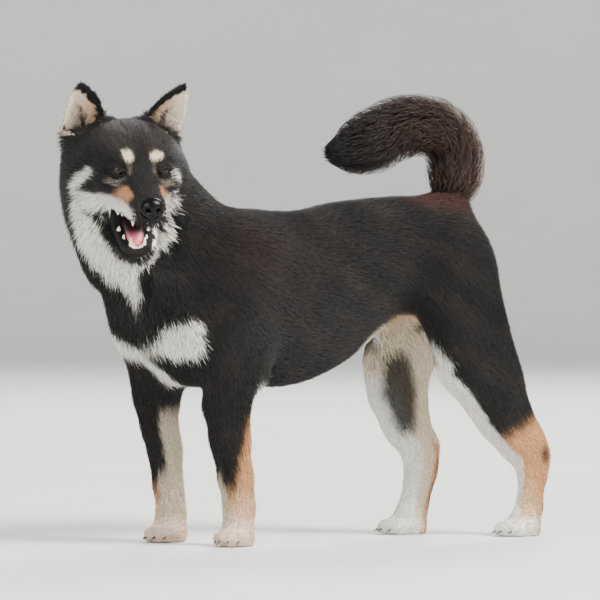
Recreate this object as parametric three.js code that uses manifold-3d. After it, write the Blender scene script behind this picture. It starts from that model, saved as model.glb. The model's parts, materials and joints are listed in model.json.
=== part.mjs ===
// A black and tan Shiba Inu, life size, standing with its head turned to its left and its mouth open.
// Millimetres. +Z is up, the floor is Z = 0, the dog faces -Y and its left side is +X.
// Flesh is a smooth field of bones and muscles, skinned on a cell grid, then parted with thin cuts.
import * as THREE from 'three';
import { mergeVertices } from 'three/addons/utils/BufferGeometryUtils.js';
import Module from 'manifold-3d';

const wasm = await Module();
wasm.setup();

// Driving dimensions
const WITHERS = 374;
const CROUP = 393;
const GAP = 0.3;
const HALF_GAP = GAP / 2;

// The forequarters are turned a little to the dog's left, about an upright line through the ribs
const CHEST_TURN = THREE.MathUtils.degToRad(15);
const CHEST_PIVOT = -45;

// Pose of the head: its centre, its turn to the dog's left and its nod, and how far the jaw is open
const HEAD_AT = [36, -218, 427];
const HEAD_TURN = THREE.MathUtils.degToRad(78.3);
const HEAD_NOD = THREE.MathUtils.degToRad(18.5);
const JAW_GAPE = THREE.MathUtils.degToRad(31);

// Cell sizes of the skins
const TORSO_CELL = 24.5;
const NECK_CELL = 16;
const HEAD_CELL = 10.3;
const FORELEG_CELL = 14;
const HINDLEG_CELL = 16;
const PAW_CELL = 12.5;
const TAIL_CELL = 14;

// Finishes
const finish = (color, roughness) => new THREE.MeshStandardMaterial({ color, roughness, metalness: 0 });
const BLACK_COAT = finish(0x1b1918, 0.75);
const TAN_COAT = finish(0xc9925a, 0.8);
const CREAM_COAT = finish(0xe6dcc8, 0.8);
const TAIL_COAT = finish(0x3a322d, 0.8);
const EAR_COAT = finish(0x24201e, 0.75);
const NOSE_LEATHER = finish(0x101012, 0.35);
const EYE_GLOSS = finish(0x2a1a10, 0.1);
const TONGUE_FLESH = finish(0xd9808c, 0.4);

// Fields: each is a signed distance in millimetres, negative inside

function mass(x, y, z, rx, ry, rz, turn = [0, 0, 0]) {
  const toOwn = new THREE.Matrix3().setFromMatrix4(
    new THREE.Matrix4().makeRotationFromEuler(
      new THREE.Euler(...turn.map((angle) => THREE.MathUtils.degToRad(angle)), 'ZYX'))
  ).transpose().elements;
  return (px, py, pz) => {
    const dx = px - x;
    const dy = py - y;
    const dz = pz - z;
    const ux = (toOwn[0] * dx + toOwn[3] * dy + toOwn[6] * dz) / rx;
    const uy = (toOwn[1] * dx + toOwn[4] * dy + toOwn[7] * dz) / ry;
    const uz = (toOwn[2] * dx + toOwn[5] * dy + toOwn[8] * dz) / rz;
    const reach = Math.hypot(ux, uy, uz);
    const steep = Math.hypot(ux / rx, uy / ry, uz / rz);
    return steep < 1e-9 ? -Math.min(rx, ry, rz) : reach * (reach - 1) / steep;
  };
}

// A bone with its flesh, from radius ra at a to rb at b. widen is its thickness along X over that along Y.
function bone(a, b, ra, rb, widen = 1) {
  const along = [b[0] - a[0], b[1] - a[1], b[2] - a[2]];
  const lengthSq = along[0] ** 2 + along[1] ** 2 + along[2] ** 2;
  const shrink = Math.min(1, widen);
  return (x, y, z) => {
    const dot = (x - a[0]) * along[0] + (y - a[1]) * along[1] + (z - a[2]) * along[2];
    const t = Math.min(1, Math.max(0, dot / lengthSq));
    const dx = (x - a[0] - t * along[0]) / widen;
    const dy = y - a[1] - t * along[1];
    const dz = z - a[2] - t * along[2];
    return (Math.hypot(dx, dy, dz) - ra - t * (rb - ra)) * shrink;
  };
}

// A run of bones through points [x, y, z, radius]
function chain(points, widen = 1, soft = 4) {
  const links = points.slice(1).map((p, i) => bone(points[i], p, points[i][3], p[3], widen));
  return blend(soft, ...links);
}

// Joins fields with a fillet about as deep as soft
function blend(soft, ...fields) {
  return (x, y, z) => {
    let nearest = fields[0](x, y, z);
    for (let i = 1; i < fields.length; i++) {
      const next = fields[i](x, y, z);
      const overlap = Math.max(0, soft - Math.abs(nearest - next)) / soft;
      nearest = Math.min(nearest, next) - overlap * overlap * soft / 4;
    }
    return nearest;
  };
}

// Takes one field out of another with a rounded edge
function carve(soft, field, ...tools) {
  const hollow = blend(soft, ...tools);
  return (x, y, z) => {
    const kept = field(x, y, z);
    const away = -hollow(x, y, z);
    const overlap = Math.max(0, soft - Math.abs(kept - away)) / soft;
    return Math.max(kept, away) + overlap * overlap * soft / 4;
  };
}

const bothSides = (field) => (x, y, z) => field(Math.abs(x), y, z);
const within = (field, bound) => (x, y, z) => Math.max(field(x, y, z), bound(x, y, z));

// Evaluates a field of the parent frame in the frame that matrix places there
function seenFrom(matrix, field) {
  const e = matrix.elements;
  return (x, y, z) => field(
    e[0] * x + e[4] * y + e[8] * z + e[12],
    e[1] * x + e[5] * y + e[9] * z + e[13],
    e[2] * x + e[6] * y + e[10] * z + e[14]
  );
}

// Skin of a field: one vertex in each cell that the surface crosses, one quad across each edge that it cuts

const CORNERS = [0, 1, 2, 3, 4, 5, 6, 7].map((i) => [i & 1, (i >> 1) & 1, i >> 2]);
const EDGES = CORNERS.flatMap((_, i) => [1, 2, 4].filter((bit) => !(i & bit)).map((bit) => [i, i | bit]));

function skinOf(shape, low, high, cell, passes = 5) {
  const count = low.map((v, i) => Math.ceil((high[i] - v) / cell) + 1);
  const top = low.map((v, i) => v + (count[i] - 1) * cell);
  const field = (x, y, z) => Math.max(shape(x, y, z), low[0] + cell - x, low[1] + cell - y,
    low[2] + cell - z, x + cell - top[0], y + cell - top[1], z + cell - top[2]);
  const [nx, ny, nz] = count;
  const at = (i, j, k) => i + nx * (j + ny * k);
  const values = new Float64Array(nx * ny * nz);
  for (let k = 0; k < nz; k++)
    for (let j = 0; j < ny; j++)
      for (let i = 0; i < nx; i++)
        values[at(i, j, k)] = field(low[0] + i * cell, low[1] + j * cell, low[2] + k * cell);

  settle(values, count, cell);
  const vertexOf = new Map();
  const points = [];
  for (let k = 0; k < nz - 1; k++)
    for (let j = 0; j < ny - 1; j++)
      for (let i = 0; i < nx - 1; i++) {
        const corner = CORNERS.map(([a, b, c]) => values[at(i + a, j + b, k + c)]);
        const sum = [0, 0, 0];
        let crossings = 0;
        for (const [p, q] of EDGES) {
          if ((corner[p] < 0) === (corner[q] < 0)) continue;
          const t = corner[p] / (corner[p] - corner[q]);
          for (let axis = 0; axis < 3; axis++)
            sum[axis] += CORNERS[p][axis] + t * (CORNERS[q][axis] - CORNERS[p][axis]);
          crossings++;
        }
        if (!crossings) continue;
        vertexOf.set(at(i, j, k), points.length);
        points.push([i, j, k].map((v, axis) => low[axis] + (v + sum[axis] / crossings) * cell));
      }

  const quads = [];
  const step = [[1, 0, 0], [0, 1, 0], [0, 0, 1]];
  for (let k = 1; k < nz - 1; k++)
    for (let j = 1; j < ny - 1; j++)
      for (let i = 1; i < nx - 1; i++)
        for (let axis = 0; axis < 3; axis++) {
          const here = values[at(i, j, k)] < 0;
          const there = values[at(i + step[axis][0], j + step[axis][1], k + step[axis][2])] < 0;
          if (here === there) continue;
          const u = step[(axis + 1) % 3];
          const v = step[(axis + 2) % 3];
          const ring = [[0, 0], [1, 0], [1, 1], [0, 1]].map(([a, b]) =>
            vertexOf.get(at(i - a * u[0] - b * v[0], j - a * u[1] - b * v[1], k - a * u[2] - b * v[2])));
          quads.push(here ? ring : ring.reverse());
        }

  relax(points, quads, field, cell, passes);
  return geometryOfQuads(points, quads);
}

// Fills the notches where two sheets of the surface would share an edge: a cell face, or a cell, that is
// inside at two opposite corners only
function settle(values, [nx, ny, nz], cell) {
  const at = (i, j, k) => i + nx * (j + ny * k);
  const loops = [[1, nx, 0], [1, nx * ny, 0], [nx, nx * ny, 0]];
  const fill = -0.02 * cell;
  let changed = true;
  while (changed) {
    changed = false;
    for (let k = 0; k < nz - 1; k++)
      for (let j = 0; j < ny - 1; j++)
        for (let i = 0; i < nx - 1; i++) {
          const a = at(i, j, k);
          for (const [u, v] of loops) {
            const ring = [a, a + u, a + u + v, a + v];
            const inside = ring.map((n) => values[n] < 0);
            if (inside[0] !== inside[2] || inside[1] !== inside[3] || inside[0] === inside[1]) continue;
            const open = ring.filter((n) => values[n] >= 0).sort((p, q) => values[p] - values[q]);
            values[open[0]] = fill;
            changed = true;
          }
          const corners = CORNERS.map(([p, q, r]) => at(i + p, j + q, k + r));
          const full = corners.filter((n) => values[n] < 0).length;
          for (let c = 0; c < 4; c++) {
            const pair = [corners[c], corners[7 - c]];
            const together = (values[pair[0]] < 0) === (values[pair[1]] < 0);
            const alone = together && full === (values[pair[0]] < 0 ? 2 : 6);
            if (!alone) continue;
            const open = corners.filter((n) => values[n] >= 0).sort((p, q) => values[p] - values[q]);
            values[open[0]] = fill;
            changed = true;
            break;
          }
        }
  }
}

// Evens the vertices out, then puts each one back on the field's surface
function relax(points, quads, field, cell, passes) {
  const neighbours = points.map(() => new Set());
  for (const q of quads)
    q.forEach((v, i) => {
      neighbours[v].add(q[(i + 1) % 4]);
      neighbours[v].add(q[(i + 3) % 4]);
    });
  const probe = cell * 0.05;
  for (let pass = 0; pass < passes; pass++) {
    const moved = points.map((p, v) => {
      const mean = [0, 0, 0];
      for (const n of neighbours[v])
        for (let axis = 0; axis < 3; axis++) mean[axis] += points[n][axis] / neighbours[v].size;
      return p.map((value, axis) => value + 0.5 * (mean[axis] - value));
    });
    moved.forEach((p, v) => {
      for (let turn = 0; turn < 2; turn++) {
        const [x, y, z] = p;
        const d = field(x, y, z);
        const slope = [
          field(x + probe, y, z) - field(x - probe, y, z),
          field(x, y + probe, z) - field(x, y - probe, z),
          field(x, y, z + probe) - field(x, y, z - probe)
        ].map((s) => s / (2 * probe));
        const steep = Math.max(0.2, slope[0] ** 2 + slope[1] ** 2 + slope[2] ** 2);
        const reach = Math.max(-cell / 2, Math.min(cell / 2, d)) / steep;
        for (let axis = 0; axis < 3; axis++) p[axis] -= reach * slope[axis];
      }
      points[v] = p;
    });
  }
}

// Splits each quad along its shorter diagonal
function geometryOfQuads(points, quads) {
  const far = (a, b) => Math.hypot(...points[a].map((value, axis) => value - points[b][axis]));
  const index = quads.flatMap(([a, b, c, d]) =>
    far(a, c) < far(b, d) ? [a, b, c, a, c, d] : [a, b, d, b, c, d]);
  const geometry = new THREE.BufferGeometry();
  geometry.setAttribute('position', new THREE.Float32BufferAttribute(points.flat(), 3));
  geometry.setIndex(index);
  return geometry;
}

// Solids: closed geometries joined and cut

function solidOf(geometry) {
  const bare = new THREE.BufferGeometry();
  bare.setAttribute('position', geometry.getAttribute('position'));
  bare.setIndex(geometry.getIndex());
  const merged = mergeVertices(bare, 1e-4);
  const mesh = new wasm.Mesh({
    numProp: 3,
    vertProperties: merged.getAttribute('position').array,
    triVerts: new Uint32Array(merged.getIndex().array)
  });
  mesh.merge();
  return new wasm.Manifold(mesh);
}

function geometryOf(solid) {
  const whole = solid.decompose().sort((a, b) => b.volume() - a.volume())[0];
  const mesh = whole.getMesh();
  const geometry = new THREE.BufferGeometry();
  geometry.setAttribute('position', new THREE.BufferAttribute(new Float32Array(mesh.vertProperties), 3));
  geometry.setIndex(new THREE.BufferAttribute(new Uint32Array(mesh.triVerts), 1));
  return geometry;
}

const join = (...solids) => solids.reduce((whole, next) => whole.add(next));
const placed = (geometry, matrix) => geometry.clone().applyMatrix4(matrix);

// Keeps what lies on the side of a plane that its normal points to, half the gap back from it
function keepSide(solid, point, normal) {
  const unit = new THREE.Vector3(...normal).normalize();
  const offset = unit.dot(new THREE.Vector3(...point)) + HALF_GAP;
  return solid.trimByPlane(unit.toArray(), offset);
}

const opposite = (normal) => normal.map((v) => -v);

// A lathe round the line from a to b with round ends, its radius going from ra to rb
function sackSolid(a, b, ra, rb) {
  const length = Math.hypot(b[0] - a[0], b[1] - a[1], b[2] - a[2]);
  const outline = [];
  const steps = 4;
  for (let i = 0; i <= steps; i++) {
    const angle = (i / steps) * Math.PI / 2;
    outline.push(new THREE.Vector2(ra * Math.sin(angle), -ra * Math.cos(angle)));
  }
  for (let i = 0; i <= steps; i++) {
    const angle = (i / steps) * Math.PI / 2;
    outline.push(new THREE.Vector2(rb * Math.cos(angle), length + rb * Math.sin(angle)));
  }
  outline[0].x = 0;
  outline[outline.length - 1].x = 0;
  const turn = new THREE.Quaternion().setFromUnitVectors(
    new THREE.Vector3(0, 1, 0),
    new THREE.Vector3(b[0] - a[0], b[1] - a[1], b[2] - a[2]).normalize()
  );
  const matrix = new THREE.Matrix4().compose(new THREE.Vector3(...a), turn, new THREE.Vector3(1, 1, 1));
  return solidOf(placed(new THREE.LatheGeometry(outline, 16), matrix));
}

// The space that a limb takes out of the body, from points [x, y, z, radius], grown by extra
function limbSack(points, extra) {
  const links = points.slice(1).map((p, i) =>
    sackSolid(points[i], p, points[i][3] + extra, p[3] + extra));
  return join(...links);
}

// Torso

// A point given in the chest's own frame, turned with the forequarters
function ofChest([x, y, z, ...rest]) {
  const c = Math.cos(CHEST_TURN);
  const s = Math.sin(CHEST_TURN);
  const back = y - CHEST_PIVOT;
  return [x * c - back * s, CHEST_PIVOT + x * s + back * c, z, ...rest];
}

// A mass of the forequarters, tilted about its own X axis
function chestMass(x, y, z, radii, tilt = 0) {
  return mass(...ofChest([x, y, z]), ...radii, [tilt, 0, THREE.MathUtils.radToDeg(CHEST_TURN)]);
}

const ribcage = mass(4, -30, 272, 74, 128, 99, [-3, 0, 7]);
const forechest = chestMass(0, -128, 258, [68, 78, 82], 16);
const withers = chestMass(0, -74, WITHERS - 42, [40, 80, 42]);
const shoulders = [-1, 1].map((side) => chestMass(side * 44, -106, 280, [34, 54, 88], -18));
const loin = mass(0, 74, 320, 59, 104, 68, [4, 0, 0]);
const belly = mass(0, 36, 274, 56, 106, 70, [13, 0, 0]);
const croup = mass(0, 156, CROUP - 62, 58, 84, 62);
const rump = mass(0, 194, 316, 50, 46, 62);
const trunk = blend(30, ribcage, forechest, withers, ...shoulders, loin, belly, croup, rump);

// Limbs. Each one stands in its own way: the far foreleg leads and the near hind leg is set back.
// Their chains run from the elbow or the knee down to the paw, as [x, y, z, radius].

const LEFT = 1;
const RIGHT = -1;
const FORE = {
  [LEFT]: {
    lead: 0,
    chain: [[70, -111, 197, 33], [66, -113, 165, 29], [63, -107, 120, 24], [61, -99, 78, 20.5],
      [60, -94, 43, 18.5], [60, -95, 20, 17]],
    paw: { at: [62, -98], turn: 38 }
  },
  [RIGHT]: {
    lead: -36,
    chain: [[-38, -146, 197, 33], [-38, -148, 167, 28], [-41, -143.5, 133, 22], [-43, -135.5, 105, 20.5],
      [-45, -130.5, 68, 18], [-46, -126, 39, 17.5], [-46, -127, 20, 17]],
    paw: { at: [-45, -129], turn: 26 }
  }
};
const HIND = {
  [LEFT]: {
    chain: [[56, 203, 200, 37], [55, 236, 166, 37], [53, 252, 139, 32], [51, 276, 110, 27],
      [50, 291, 94, 21], [50, 292, 68, 16.5], [50, 288, 38, 15.5], [49, 284, 20, 16]],
    ham: [50, 248, 196, 27],
    paw: { at: [49, 279], turn: 6 }
  },
  [RIGHT]: {
    chain: [[-52, 168, 200, 38], [-51, 170, 165, 35], [-49, 180, 128, 28], [-46, 198, 100, 22],
      [-45, 198, 75, 18.5], [-45, 194, 52, 16.5], [-45, 186, 28, 16], [-45, 182, 18, 16]],
    ham: [-44, 190, 215, 30],
    paw: { at: [-45, 180], turn: -8 }
  }
};

function foreleg(side) {
  const { lead, chain: points } = FORE[side];
  const shoulder = ofChest([side * 52, -148 + lead * 0.4, 255]);
  const elbow = ofChest([side * 62, -88 + lead, 190]);
  const [ex, ey, ez] = points[0];
  const upperArm = bone(shoulder, [ex, ey, ez + 8], 46, 36, 0.78);
  const point = bone([(ex + elbow[0]) / 2, (ey + elbow[1]) / 2, 206], elbow, 24, 13);
  return blend(14, upperArm, chain(points, 0.84, 10), point);
}

function hindleg(side) {
  const { chain: points, ham } = HIND[side];
  const [kx, ky, kz, kr] = points[0];
  const thigh = bone([side * 38, 184, 314], [kx, ky, kz], 60, kr, 0.74);
  const rear = bone([side * 36, 206, 300], ham, 44, ham[3], 0.8);
  return blend(14, thigh, rear, chain(points, 0.78, 12));
}

const forelegField = { [LEFT]: foreleg(LEFT), [RIGHT]: foreleg(RIGHT) };
const hindlegField = { [LEFT]: hindleg(LEFT), [RIGHT]: hindleg(RIGHT) };

// The spaces that the limbs take out of the body, as chains of balls
const foreSack = (side) => {
  const { lead, chain: points } = FORE[side];
  const [fx, fy] = points[points.length - 1];
  return [ofChest([side * 84, -122 + lead * 0.5, 234, 50]), [fx + side * 6, fy - 10, 140, 40],
    [fx, fy - 4, -30, 42]];
};
const hindSack = (side) => {
  const { chain: points } = HIND[side];
  const [kx, ky, kz] = points[0];
  const [hx, hy, hz] = points[4];
  const [fx, fy] = points[points.length - 1];
  return [[side * 76, 192, 266, 66], [side * 63, ky + 14, 190, 59], [hx, hy - 8, hz + 12, 45],
    [fx, fy - 8, -40, 46]];
};

// Neck and tail

const NECK = [[14, -152, 300, 82], [2, -167, 330, 79], [-5, -182, 356, 76], [-8, -201, 390, 68],
  [8, -211, 418, 52]];
const neckField = chain(NECK, 0.8, 20);

// The tail as [x, y, z, radius of its flesh, reach of its brush]. Past its root the flesh is half the reach.
const TAIL = [[0, 203, 370, 30, 31], [2, 217, 420, 20, 33], [4, 210, 452, 16, 34], [6, 186, 470, 16, 35],
  [8, 155, 473, 16, 35], [9, 127, 466, 16, 36], [10, 101, 453, 16, 36], [11, 76, 444, 12, 30],
  [12, 58, 441, 7, 17]];
const tailField = chain(TAIL, 0.92, 12);

// Head, in its own frame: +X is its left, -Y its nose, +Z its crown

const headMatrix = new THREE.Matrix4().compose(
  new THREE.Vector3(...HEAD_AT),
  new THREE.Quaternion().setFromEuler(new THREE.Euler(HEAD_NOD, 0, HEAD_TURN, 'ZXY')),
  new THREE.Vector3(1, 1, 1)
);
const HINGE = [0, 6, -32];
const jawMatrix = new THREE.Matrix4()
  .makeTranslation(...HINGE)
  .multiply(new THREE.Matrix4().makeRotationX(JAW_GAPE));
const headInverse = headMatrix.clone().invert();
const jawInverse = jawMatrix.clone().invert();

const EYE_AT = [23.8, -44, 6];
const EYE_RADIUS = 10.5;
const NOSE_AT = [0, -110, -18];

const cranium = mass(0, 4, 8, 55, 58, 38);
const forehead = mass(0, -24, 8, 42, 31, 29);
const browRidge = bothSides(mass(20, -43, 15, 12, 10, 8));
const cheeks = bothSides(mass(35, 8, -18, 37, 44, 40, [0, 0, -12]));
const ruff = bothSides(mass(36, 22, -32, 36, 36, 44));
const cheekbone = bothSides(mass(33, -36, -10, 17, 20, 13));
const muzzle = bone([0, -44, -15], [0, -94, -20], 27, 18.5, 0.98);
const upperLip = bothSides(bone([18, -46, -28], [9, -98, -28.5], 13, 9.5));
const noseBase = mass(0, -104, -20, 12, 9, 10);
const sockets = bothSides(mass(26, -55, 5, 11, 11, 8));
const earBases = blend(6, mass(-53, 32, 7, 18.5, 16, 19), mass(49, 31, 8, 15, 14, 17));
const skull = blend(12, cranium, forehead, cheeks, ruff, cheekbone, browRidge, muzzle, upperLip, noseBase,
  earBases);
const face = carve(5, skull, sockets);

const lowerJaw = blend(8,
  bone([0, -14, -19], [0, -79, -13], 20, 11, 1.1),
  bothSides(bone([26, -14, -14], [9, -82, -10], 12, 8)));
const headField = blend(9, face, seenFrom(jawInverse, lowerJaw));

// Everything that the skin runs over, in the dog's frame
const headInBody = seenFrom(headInverse, headField);
const front = blend(24, trunk, neckField);
const body = blend(16, front, forelegField[LEFT], forelegField[RIGHT],
  hindlegField[LEFT], hindlegField[RIGHT]);

// Planes that part the nodes: a point and the normal to the far side
const NECK_ROOT = { point: [11, -176, 336], normal: [-0.1, -0.53, 0.84] };
const NECK_TOP = { point: [10, 20, -62], normal: [-0.38, -0.45, 0.81] };
const PAW_TOP = 34;
const TAIL_ROOT = { point: [0, 212, 388], normal: [0, 0.3, 0.95] };

const carried = ({ point, normal }, matrix) => ({
  point: new THREE.Vector3(...point).applyMatrix4(matrix).toArray(),
  normal: new THREE.Vector3(...normal).transformDirection(matrix).toArray()
});
const neckTopInBody = carried(NECK_TOP, headMatrix);
const neckRootInHead = carried(NECK_ROOT, headInverse);

function torsoSolid() {
  const upperLimbs = blend(16, front,
    ...[LEFT, RIGHT].map((side) => within(forelegField[side], (x, y, z) => 185 - z)),
    ...[LEFT, RIGHT].map((side) => within(hindlegField[side], (x, y, z) => 215 - z)));
  const field = blend(20, upperLimbs, tailField);
  let solid = solidOf(skinOf(field, [-120, -260, 110], [120, 320, 460], TORSO_CELL));
  for (const side of [LEFT, RIGHT]) {
    solid = solid.subtract(limbSack(foreSack(side), GAP));
    solid = solid.subtract(limbSack(hindSack(side), GAP));
  }
  solid = keepSide(solid, NECK_ROOT.point, opposite(NECK_ROOT.normal));
  return keepSide(solid, TAIL_ROOT.point, opposite(TAIL_ROOT.normal));
}

function neckSolid() {
  const field = blend(12, front, headInBody);
  const reach = mass(0, -190, 380, 130, 130, 130);
  let solid = solidOf(skinOf(within(field, reach), [-140, -330, 240], [140, -40, 520], NECK_CELL));
  solid = keepSide(solid, NECK_ROOT.point, NECK_ROOT.normal);
  return keepSide(solid, neckTopInBody.point, opposite(neckTopInBody.normal));
}

function limbSolid(side, points, cell, low, high) {
  const reach = chain(points.map(([x, y, z, r]) => [x, y, z, r + cell]));
  const across = side > 0 ? [low[0], high[0]] : [-high[0], -low[0]];
  const box = [[across[0], low[1], low[2]], [across[1], high[1], high[2]]];
  const whole = solidOf(skinOf(within(body, reach), box[0], box[1], cell));
  const upper = whole.intersect(limbSack(points, 0));
  return keepSide(upper, [0, 0, PAW_TOP], [0, 0, 1]);
}

const forelegSolid = (side) =>
  limbSolid(side, foreSack(side), FORELEG_CELL, [-40, -260, 0], [160, 20, 320]);
const hindlegSolid = (side) =>
  limbSolid(side, hindSack(side), HINDLEG_CELL, [-30, 40, 0], [170, 370, 370]);

// Tail: a root, an arch and a tip, in a brush of flat locks that lie along it towards the tip

const LOCK_LENGTH = 58;
const LOCK_SPACING = 28;
const LOCKS_AROUND = 6;
const LOCK_STATIONS = [
  { along: 0, out: 0.24, half: 8, thick: 2.6 },
  { along: 0.34, out: 0.68, half: 15.5, thick: 2 },
  { along: 0.7, out: 0.93, half: 12, thick: 1.4 }
];
const INNER_SHARE = 0.74;
const ROOT_CLEAR = 14;

// Draws numbers from 0 to 1, the same ones each time for one seed
function draws(seed) {
  let state = seed;
  return () => {
    state = (Math.imul(state, 1664525) + 1013904223) >>> 0;
    return state / 4294967296;
  };
}

// The tail's middle line: where it is at a distance along it, which way it runs and how far its brush reaches
const tailLine = new THREE.CatmullRomCurve3(TAIL.map(([x, y, z]) => new THREE.Vector3(x, y, z)));
const TAIL_LENGTH = tailLine.getLength();

function tailStation(distance) {
  const t = Math.min(1, distance / TAIL_LENGTH);
  const run = tailLine.getTangentAt(t);
  const centre = tailLine.getPointAt(t).addScaledVector(run, Math.max(0, distance - TAIL_LENGTH));
  const at = tailLine.getUtoTmapping(t) * (TAIL.length - 1);
  const i = Math.min(TAIL.length - 2, Math.floor(at));
  const reach = TAIL[i][4] + (at - i) * (TAIL[i + 1][4] - TAIL[i][4]);
  const side = new THREE.Vector3(1, 0, 0).addScaledVector(run, -run.x).normalize();
  const out = side.clone().cross(run).negate();
  return { centre, run, side, out, reach };
}

// Closes a run of rings of four points, with a flat root and a point at the end
function bladeSolid(rings, tip) {
  const points = [...rings.flat(), tip];
  const index = [0, 2, 1, 0, 3, 2];
  for (let r = 0; r < rings.length - 1; r++)
    for (let i = 0; i < 4; i++) {
      const a = 4 * r + i;
      const b = 4 * r + (i + 1) % 4;
      index.push(...(i % 2 ? [a, b, a + 4, b, b + 4, a + 4] : [a, b, b + 4, a, b + 4, a + 4]));
    }
  const last = 4 * (rings.length - 1);
  for (let i = 0; i < 4; i++) index.push(last + i, last + (i + 1) % 4, points.length - 1);
  const geometry = new THREE.BufferGeometry();
  geometry.setAttribute('position', new THREE.Float32BufferAttribute(points.flatMap((p) => p.toArray()), 3));
  geometry.setIndex(index);
  const solid = solidOf(geometry);
  if (solid.volume() > 0) return solid;
  geometry.setIndex(index.reverse());
  return solidOf(geometry);
}

// A grown lock is wider by this many times its extra thickness, since its edges are sharp
const EDGE_ROOM = 8;

// A lock rooted at a distance along the tail and an angle round it, cupped round the tail
function lockSolid({ distance, angle, length, twist, scale }, extra) {
  const spot = (along, outShare, turn) => {
    const { centre, side, out, reach } = tailStation(distance + along * length);
    const spin = angle + twist * along;
    const outward = side.clone().multiplyScalar(Math.cos(spin)).addScaledVector(out, Math.sin(spin));
    const across = side.clone().multiplyScalar(-Math.sin(spin)).addScaledVector(out, Math.cos(spin));
    const bent = Math.min(1, Math.max(0, Math.min(distance - 40, 190 - distance) / 40));
    const inner = bent * Math.max(0, -Math.sin(spin)) ** 2;
    const radius = reach * scale * (1 - inner * (1 - INNER_SHARE)) * outShare;
    return { point: centre.addScaledVector(outward, radius), outward, across, radius };
  };
  const rings = LOCK_STATIONS.map(({ along, out, half, thick }) => {
    const { point, outward, across, radius } = spot(along, out);
    const own = half * Math.min(1, 0.45 + radius / 45);
    const wide = own + EDGE_ROOM * extra;
    const cup = own * wide / (2 * Math.max(12, radius));
    const lift = thick + extra;
    return [
      point.clone().addScaledVector(across, wide).addScaledVector(outward, -cup),
      point.clone().addScaledVector(outward, lift),
      point.clone().addScaledVector(across, -wide).addScaledVector(outward, -cup),
      point.clone().addScaledVector(outward, -lift)
    ];
  });
  return bladeSolid(rings, spot(1 + 4 * extra / length, 1).point);
}

// Locks stand in rings from the first one's distance to a little before the tail's end, and may end a
// little past it. Every other one of a ring lies in a lower layer.
const FIRST_LOCK = 26;
const LAST_LOCK = TAIL_LENGTH - 8;
const TIP_OVERHANG = 12;
const LOWER_LAYER = 0.89;
const UPPER_LAYER = 1.01;

function brushLocks() {
  const draw = draws(7);
  const locks = [];
  for (let ring = 0; FIRST_LOCK + ring * LOCK_SPACING < LAST_LOCK; ring++)
    for (let i = 0; i < LOCKS_AROUND; i++) {
      const distance = FIRST_LOCK + (ring + 0.5 * (draw() - 0.5)) * LOCK_SPACING;
      const angle = (i + 0.5 * (ring % 2) + 0.3 * (draw() - 0.5)) * Math.PI * 2 / LOCKS_AROUND;
      const room = TAIL_LENGTH + TIP_OVERHANG - distance;
      const length = Math.min(LOCK_LENGTH * (0.88 + 0.3 * draw()), room);
      const layer = i % 2 ? LOWER_LAYER : UPPER_LAYER;
      const twist = 0.2 * (draw() - 0.5);
      locks.push({ distance, angle, length, twist, scale: layer + 0.03 * draw() });
    }
  return locks;
}

const TAIL_CUTS = [
  { point: [4, 212, 450], normal: [0, -0.25, 0.97] },
  { point: [9, 128, 468], normal: [0, -0.97, -0.25] }
];

function tailSolids() {
  const field = blend(20, tailField, trunk);
  const reach = chain(TAIL.map(([x, y, z, r]) => [x, y, z, r + 12]));
  let whole = solidOf(skinOf(within(field, reach), [-60, 20, 340], [70, 280, 540], TAIL_CELL));
  whole = keepSide(whole, TAIL_ROOT.point, TAIL_ROOT.normal);
  const [first, second] = TAIL_CUTS;
  const beyond = keepSide(whole, first.point, first.normal);
  const lengths = [
    { start: TAIL_ROOT, core: keepSide(whole, first.point, opposite(first.normal)), own: [] },
    { start: first, core: keepSide(beyond, second.point, opposite(second.normal)), own: [] },
    { start: second, core: keepSide(beyond, second.point, second.normal), own: [] }
  ];
  const isPast = ({ point, normal }, at) =>
    new THREE.Vector3(...normal).dot(at.clone().sub(new THREE.Vector3(...point))) > 0;
  for (const lock of brushLocks()) {
    const { centre } = tailStation(lock.distance + ROOT_CLEAR);
    const place = TAIL_CUTS.filter((cut) => isPast(cut, centre)).length;
    lengths[place].own.push(lock);
  }
  const [root, arch, tip] = lengths.map(({ start, core, own }, place) => {
    const brush = keepSide(join(core, ...own.map((lock) => lockSolid(lock, 0))), start.point, start.normal);
    const before = lengths.slice(0, place).flatMap((piece) => piece.own).map((lock) => lockSolid(lock, GAP));
    return before.length ? brush.subtract(join(...before)) : brush;
  });
  return { tail_root: root, tail_arch: arch, tail_tip: tip };
}

// Paws: a pad, four toes with a claw each, standing on flat soles

const TOES = [
  { x: -14, y: -14, r: [7.6, 13, 10] },
  { x: -5.4, y: -22, r: [7.4, 14, 11] },
  { x: 5.4, y: -22, r: [7.4, 14, 11] },
  { x: 14, y: -14, r: [7.6, 13, 10] }
];
const CLAW_LENGTH = 6;

function ballSolid(center, radii, across = 7, down = 5) {
  const matrix = new THREE.Matrix4().compose(
    new THREE.Vector3(...center), new THREE.Quaternion(), new THREE.Vector3(...radii));
  return solidOf(placed(new THREE.SphereGeometry(1, across, down), matrix));
}

function clawSolid(x, y, z) {
  const claw = new THREE.ConeGeometry(2.6, CLAW_LENGTH * 1.8, 5);
  claw.rotateX(THREE.MathUtils.degToRad(112));
  claw.translate(x, y, z);
  return solidOf(claw);
}

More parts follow.
